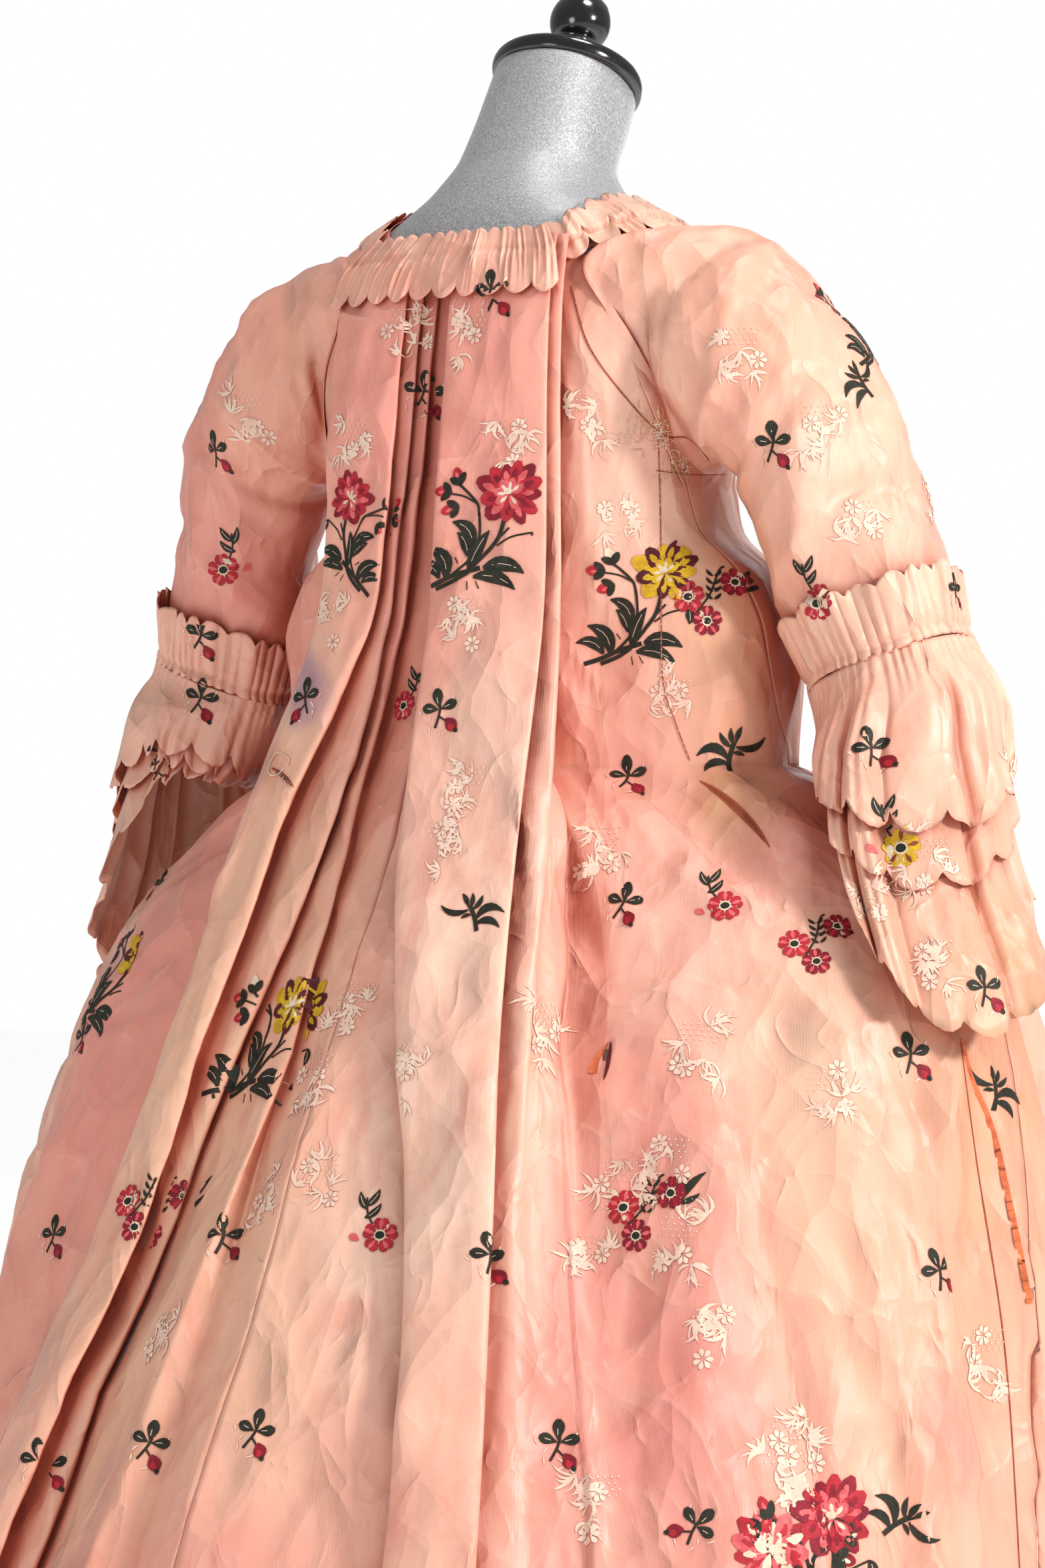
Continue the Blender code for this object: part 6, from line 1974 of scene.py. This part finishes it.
# Motifs that the photograph shows: kind, pixel across and down, scale, turn, side, give.
SHOWN_MOTIFS = (
    ("bouquet red", 532, 872, 0.86, 25, -1, 0.012), ("bouquet red", 672, 872, 1.06, 0, 1, 0.012),
    ("bouquet yellow", 920, 985, 1.0, 0, 1, 0.012), ("bouquet yellow", 350, 1640, 1.1, 0, 1, 0.014),
    ("bouquet pink", 1275, 2480, 1.2, -4, -1, 0.02), ("bouquet red", 1178, 2465, 1.2, 6, 1, 0.02),
    ("spray", 1345, 2275, 1.0, -50, 1, 0.02), ("sprig", 1045, 2290, 1.1, 40, -1, 0.02),
    ("flowers", 1053, 915, 0.95, 0, 1, 0.02), ("flowers", 950, 1835, 1.0, 0, 1, 0.02),
    ("flowers", 1215, 1430, 0.9, 10, 1, 0.02), ("flowers", 200, 1823, 1.0, 0, 1, 0.02),
    ("daisy", 1226, 905, 1.0, 0, 1, 0.01), ("daisy", 335, 855, 1.0, -10, -1, 0.01),
    ("daisy", 570, 1853, 1.0, 0, 1, 0.02), ("daisy", 1088, 1359, 1.0, 8, 1, 0.02),
    ("daisy", 606, 1059, 0.9, 0, -1, 0.01), ("daisy", 520, 374, 0.8, 0, 1, 0.01),
    ("spray", 1088, 1129, 1.0, 0, 1, 0.02), ("spray", 1290, 576, 0.9, 30, 1, 0.02),
    ("spray", 718, 1370, 0.9, -10, -1, 0.01), ("spray", 1500, 1640, 0.9, 20, -1, 0.02),
    ("sprig", 323, 676, 1.15, -4, 1, 0.02), ("sprig", 1159, 665, 1.15, -2, 1, 0.02),
    ("sprig", 459, 1047, 1.15, -12, -1, 0.01), ("sprig", 659, 1065, 1.15, 8, 1, 0.01),
    ("sprig", 941, 1165, 1.15, 2, 1, 0.02), ("sprig", 935, 1353, 1.15, -10, 1, 0.02),
    ("sprig", 1306, 1123, 1.15, 7, 1, 0.01), ("sprig", 1476, 1482, 1.15, -3, 1, 0.02),
    ("sprig", 1365, 1582, 1.15, 0, 1, 0.02), ("sprig", 1409, 1906, 1.15, 8, 1, 0.02),
    ("sprig", 124, 1553, 1.15, 13, 1, 0.02), ("sprig", 80, 1853, 1.15, 5, 1, 0.02),
    ("sprig", 333, 1853, 1.15, 6, 1, 0.02), ("sprig", 735, 1882, 1.15, 0, 1, 0.02),
    ("sprig", 382, 2147, 1.15, -11, 1, 0.02), ("sprig", 223, 2164, 1.15, -14, 1, 0.02),
    ("sprig", 76, 2200, 1.15, 7, 1, 0.02), ("sprig", 837, 2164, 1.15, -6, 1, 0.02),
    ("sprig", 735, 435, 1.15, 0, 1, 0.01), ("sprig", 635, 588, 1.15, -10, 1, 0.01),
    ("sprig", 300, 953, 1.15, -15, 1, 0.01), ("sprig", 300, 1047, 1.15, -15, 1, 0.01),
    ("lace 1", 612, 494, 1.22, 0, 1, 0.01), ("lace 2", 706, 494, 1.22, 0, 1, 0.01),
    ("lace 3", 765, 659, 1.22, 0, 1, 0.01), ("lace 4", 529, 659, 1.22, 0, 1, 0.01),
    ("lace 5", 612, 1600, 1.34, 0, 1, 0.01), ("lace 6", 812, 1541, 1.34, 0, 1, 0.02),
    ("lace 7", 1047, 1564, 1.34, 0, 1, 0.02), ("lace 8", 1070, 2000, 1.34, 0, 1, 0.02),
    ("lace 9", 1000, 1741, 1.34, 0, 1, 0.02), ("lace 10", 529, 1505, 1.34, 0, 1, 0.02),
    ("lace 11", 1188, 2164, 1.34, 0, 1, 0.02), ("lace 12", 700, 930, 1.22, 20, 1, 0.01),
    ("lace 13", 500, 930, 1.22, 10, 1, 0.01), ("lace 14", 880, 620, 1.22, 0, 1, 0.01),
    ("lace 15", 930, 780, 1.22, 0, 1, 0.01), ("lace 16", 900, 1270, 1.34, 0, 1, 0.02),
    ("lace 17", 1240, 1640, 1.34, 0, 1, 0.02), ("lace 18", 1230, 640, 1.22, 0, 1, 0.02),
    ("lace 19", 1290, 780, 1.22, 0, 1, 0.02), ("lace 20", 370, 620, 1.22, 0, 1, 0.02),
    ("lace 21", 700, 1180, 1.22, 0, 1, 0.01), ("lace 22", 660, 1260, 1.22, 0, 1, 0.01),
    ("lace 23", 240, 2000, 1.34, 0, 1, 0.02), ("lace 24", 900, 2250, 1.34, 0, 1, 0.02),
    ("lace 25", 1480, 2030, 1.34, 0, 1, 0.02), ("lace 26", 400, 1790, 1.22, 0, 1, 0.01),
    ("lace 27", 1110, 520, 1.22, 0, 1, 0.01), ("lace 28", 1010, 1050, 1.22, 0, 1, 0.02),
    ("crack", 424, 1166, 0.62, -30, 1, 0.01), ("loop", 420, 1146, 0.8, 10, 1, 0.02),
    ("lace 31", 925, 1775, 1.34, 0, 1, 0.02), ("lace 32", 1015, 1860, 1.34, 0, 1, 0.02),
    ("lace 33", 1180, 2200, 1.59, 0, 1, 0.02), ("lace 34", 885, 1885, 1.22, 0, 1, 0.02),
    ("lace 35", 470, 1610, 1.34, 0, 1, 0.02), ("lace 36", 480, 1760, 1.22, 0, 1, 0.02),
    ("fray", 980, 650, 1, 0, 1, 0.02), ("fray", 1020, 700, 0.7, 20, 1, 0.02),
    ("slit", 1102, 1220, 1, -44, 1, 0.03), ("tear", 908, 1592, 1, 0, 1, 0.02),
    ("flowers", 528, 356, 0.55, 30, 1, 0.02),
    ("daisy yellow", 1352, 1272, 1.1, 0, 1, 0.02),
    ("lace 37", 1395, 1290, 1.2, 0, 1, 0.02), ("lace 38", 1400, 1440, 1.2, 0, 1, 0.02),
    ("lace 39", 1290, 1350, 1.1, 0, 1, 0.02), ("sprig", 240, 1150, 1.0, 0, 1, 0.02),
)


# Seams that the photograph shows, by pixel: line, thread, step, stitch length and width.
SIDE_BACK_SEAM = ((988, 659), (992, 830), (994, 1012), (1012, 1080), (1035, 1141))
ARMHOLE_SEAM = ((857, 429), (884, 520), (948, 607), (997, 653), (1035, 659), (1076, 706))
YOKE_SEAM = ((985, 706), (1040, 712), (1088, 712))
SIDE_SEAM = ((1441, 1558), (1466, 1745), (1500, 1960), (1516, 2116), (1530, 2352))
LINING_EDGE = ((1441, 1560), (1458, 1620), (1490, 1700), (1520, 1830), (1545, 1955))
SHOWN_SEAMS = (
    (SIDE_BACK_SEAM, "shadow", 0.0010, 0.0011, 0.0007),
    (SIDE_BACK_SEAM, "cream", 0.0045, 0.0014, 0.0005),
    (ARMHOLE_SEAM, "shadow", 0.0010, 0.0011, 0.0009),
    (ARMHOLE_SEAM, "maroon", 0.0034, 0.0020, 0.0006),
    (YOKE_SEAM, "shadow", 0.0010, 0.0011, 0.0007),
    (SIDE_SEAM, "shadow", 0.0010, 0.0011, 0.0008),
    (LINING_EDGE, "ember", 0.0010, 0.0024, 0.0042),
)


def lay_motifs(made):
    """The shown motifs, and the same repeat round the sides that aren't shown."""
    loom = Loom(made)
    for kind, across, down, scale, turn, flip, give in SHOWN_MOTIFS:
        hit, way = loom.through(across, down)
        loom.lay(kind, hit, way, scale, turn, flip, give)
    for corners, thread, step, length, width in SHOWN_SEAMS:
        loom.sew(corners, thread, step, length, width)
    turns = {"hem": range(-172, 180, 26), "high": range(72, 212, 26)}
    rows = (("hem", 0.06), ("hem", 0.26), ("high", 0.46), ("high", 0.64), ("high", 0.81))
    colours = ("bouquet red", "bouquet yellow", "bouquet pink")
    for row, (where, height) in enumerate(rows):
        for k, turn in enumerate(turns[where]):
            turn += 13 * (row % 2)
            hit, way = loom.from_outside(turn, height)
            loom.lay(colours[(k + row) % 3], hit, way, 1.05, 0, 1 - 2 * (k % 2))
            hit, way = loom.from_outside(turn + 9, height + 0.10)
            loom.lay(("flowers", "sprig", "daisy")[(k + row) % 3], hit, way)
            hit, way = loom.from_outside(turn + 17, height + 0.03)
            loom.lay("lace %d" % (40 + k + 20 * row), hit, way, 1.1)
            hit, way = loom.from_outside(turn + 21, height + 0.12)
            loom.lay("sprig", hit, way)
    for turn, height, kind in ((118, 1.22, "sprig"), (150, 1.16, "bouquet red"),
                               (128, 1.10, "lace 90"), (-130, 1.12, "bouquet yellow"),
                               (-118, 1.24, "lace 91"), (-146, 1.26, "sprig"),
                               (52, 1.16, "lace 92"), (60, 1.07, "sprig")):
        hit, way = loom.from_outside(turn, height)
        loom.lay(kind, hit, way, 0.95, give=0.012)
    for side in (1, -1):
        for turn, height, kind in ((95, 1.28, "bouquet red"), (120, 1.19, "lace 93"),
                                   (150, 1.25, "sprig"), (170, 1.14, "daisy"),
                                   (100, 1.12, "sprig"), (100, 1.00, "lace 94"),
                                   (140, 1.02, "sprig")):
            hit, way = loom.from_outside(side * turn, height, side * 0.25)
            loom.lay(kind, hit, way, 0.9, give=0.014)
    return loom.finish()


# ---- put together ---------------------------------------------------------------------
# Flat cut of each sheet: width, length, share of that rectangle, how it is held.
FLAT_CUTS = {
    "back_left": (1.30, 1.40, 0.56, "hung"), "back_right": (1.22, 1.40, 0.57, "hung"),
    "bodice_front": (0.24, 0.36, 0.66, "hung"), "skirt_front": (0.42, 1.03, 0.70, "gathered"),
    "robing": (0.040, 0.36, 1.00, "laid"), "front_ruche": (0.056, 1.02, 0.92, "gathered"),
    "shoulder_strap": (0.035, 0.19, 0.90, "laid"),
    "shoulder_trim": (0.040, 0.20, 0.95, "gathered"), "neck_ruche": (0.24, 0.05, 0.98, "gathered"),
    "sleeve": (0.44, 0.30, 0.93, "hung"), "cuff_ruche": (0.50, 0.046, 1.00, "gathered"),
    "flounce_upper": (0.50, 0.125, 0.63, "gathered"),
    "flounce_middle": (0.50, 0.165, 0.56, "gathered"),
    "flounce_lower": (0.54, 0.260, 0.45, "gathered"),
}


def rests_on(title):
    """What a sheet hangs from or lies on."""
    part, side = title.rsplit("_", 1)
    if part.startswith("flounce") or part == "cuff_ruche":
        return ["sleeve_" + side]
    if part == "robing":
        return ["bodice_front_" + side]
    if part == "front_ruche":
        return ["skirt_front_" + side]
    if part == "shoulder_trim":
        return ["shoulder_strap_" + side]
    return ["form_body"]


def settle(made):
    """Each piece stands for its solid and rides on the form."""
    for title, (piece, _) in made.items():
        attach(piece, "root")
        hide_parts(title)
        ("silk_trim" if any(word in title for word in (
            "ruche", "trim", "robing", "flounce")) else "silk")
        cut = FLAT_CUTS.get(title) or FLAT_CUTS.get(title.rsplit("_", 1)[0])
        if cut:
            rests_on(title)


def make_gown_on_form():
    silk = silk_look("silk_worn", SALMON, PEACH, 0.35)
    pale = silk_look("silk_trim_faded", TRIM, TRIM_PALE, 0.45, 0.40, 1.3)
    made = {**make_backs(silk), **make_fronts(silk, pale), **make_straps(silk, pale),
            **make_neck_ruche(pale), **make_sleeves(silk, pale)}
    made.update(make_hip_buttons(silk))
    settle(made)
    lay_motifs(made)
    jersey, lacquer = jersey_look(), lacquer_look()
    for title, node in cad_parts.items():
        if title in ("form_pole", "form_base"):
            node.data.materials.clear()
            node.data.materials.append(lacquer)
    make_form(jersey, lacquer)


bpy.context.scene.view_settings.view_transform = "Standard"
make_camera()
make_studio()
make_gown_on_form()
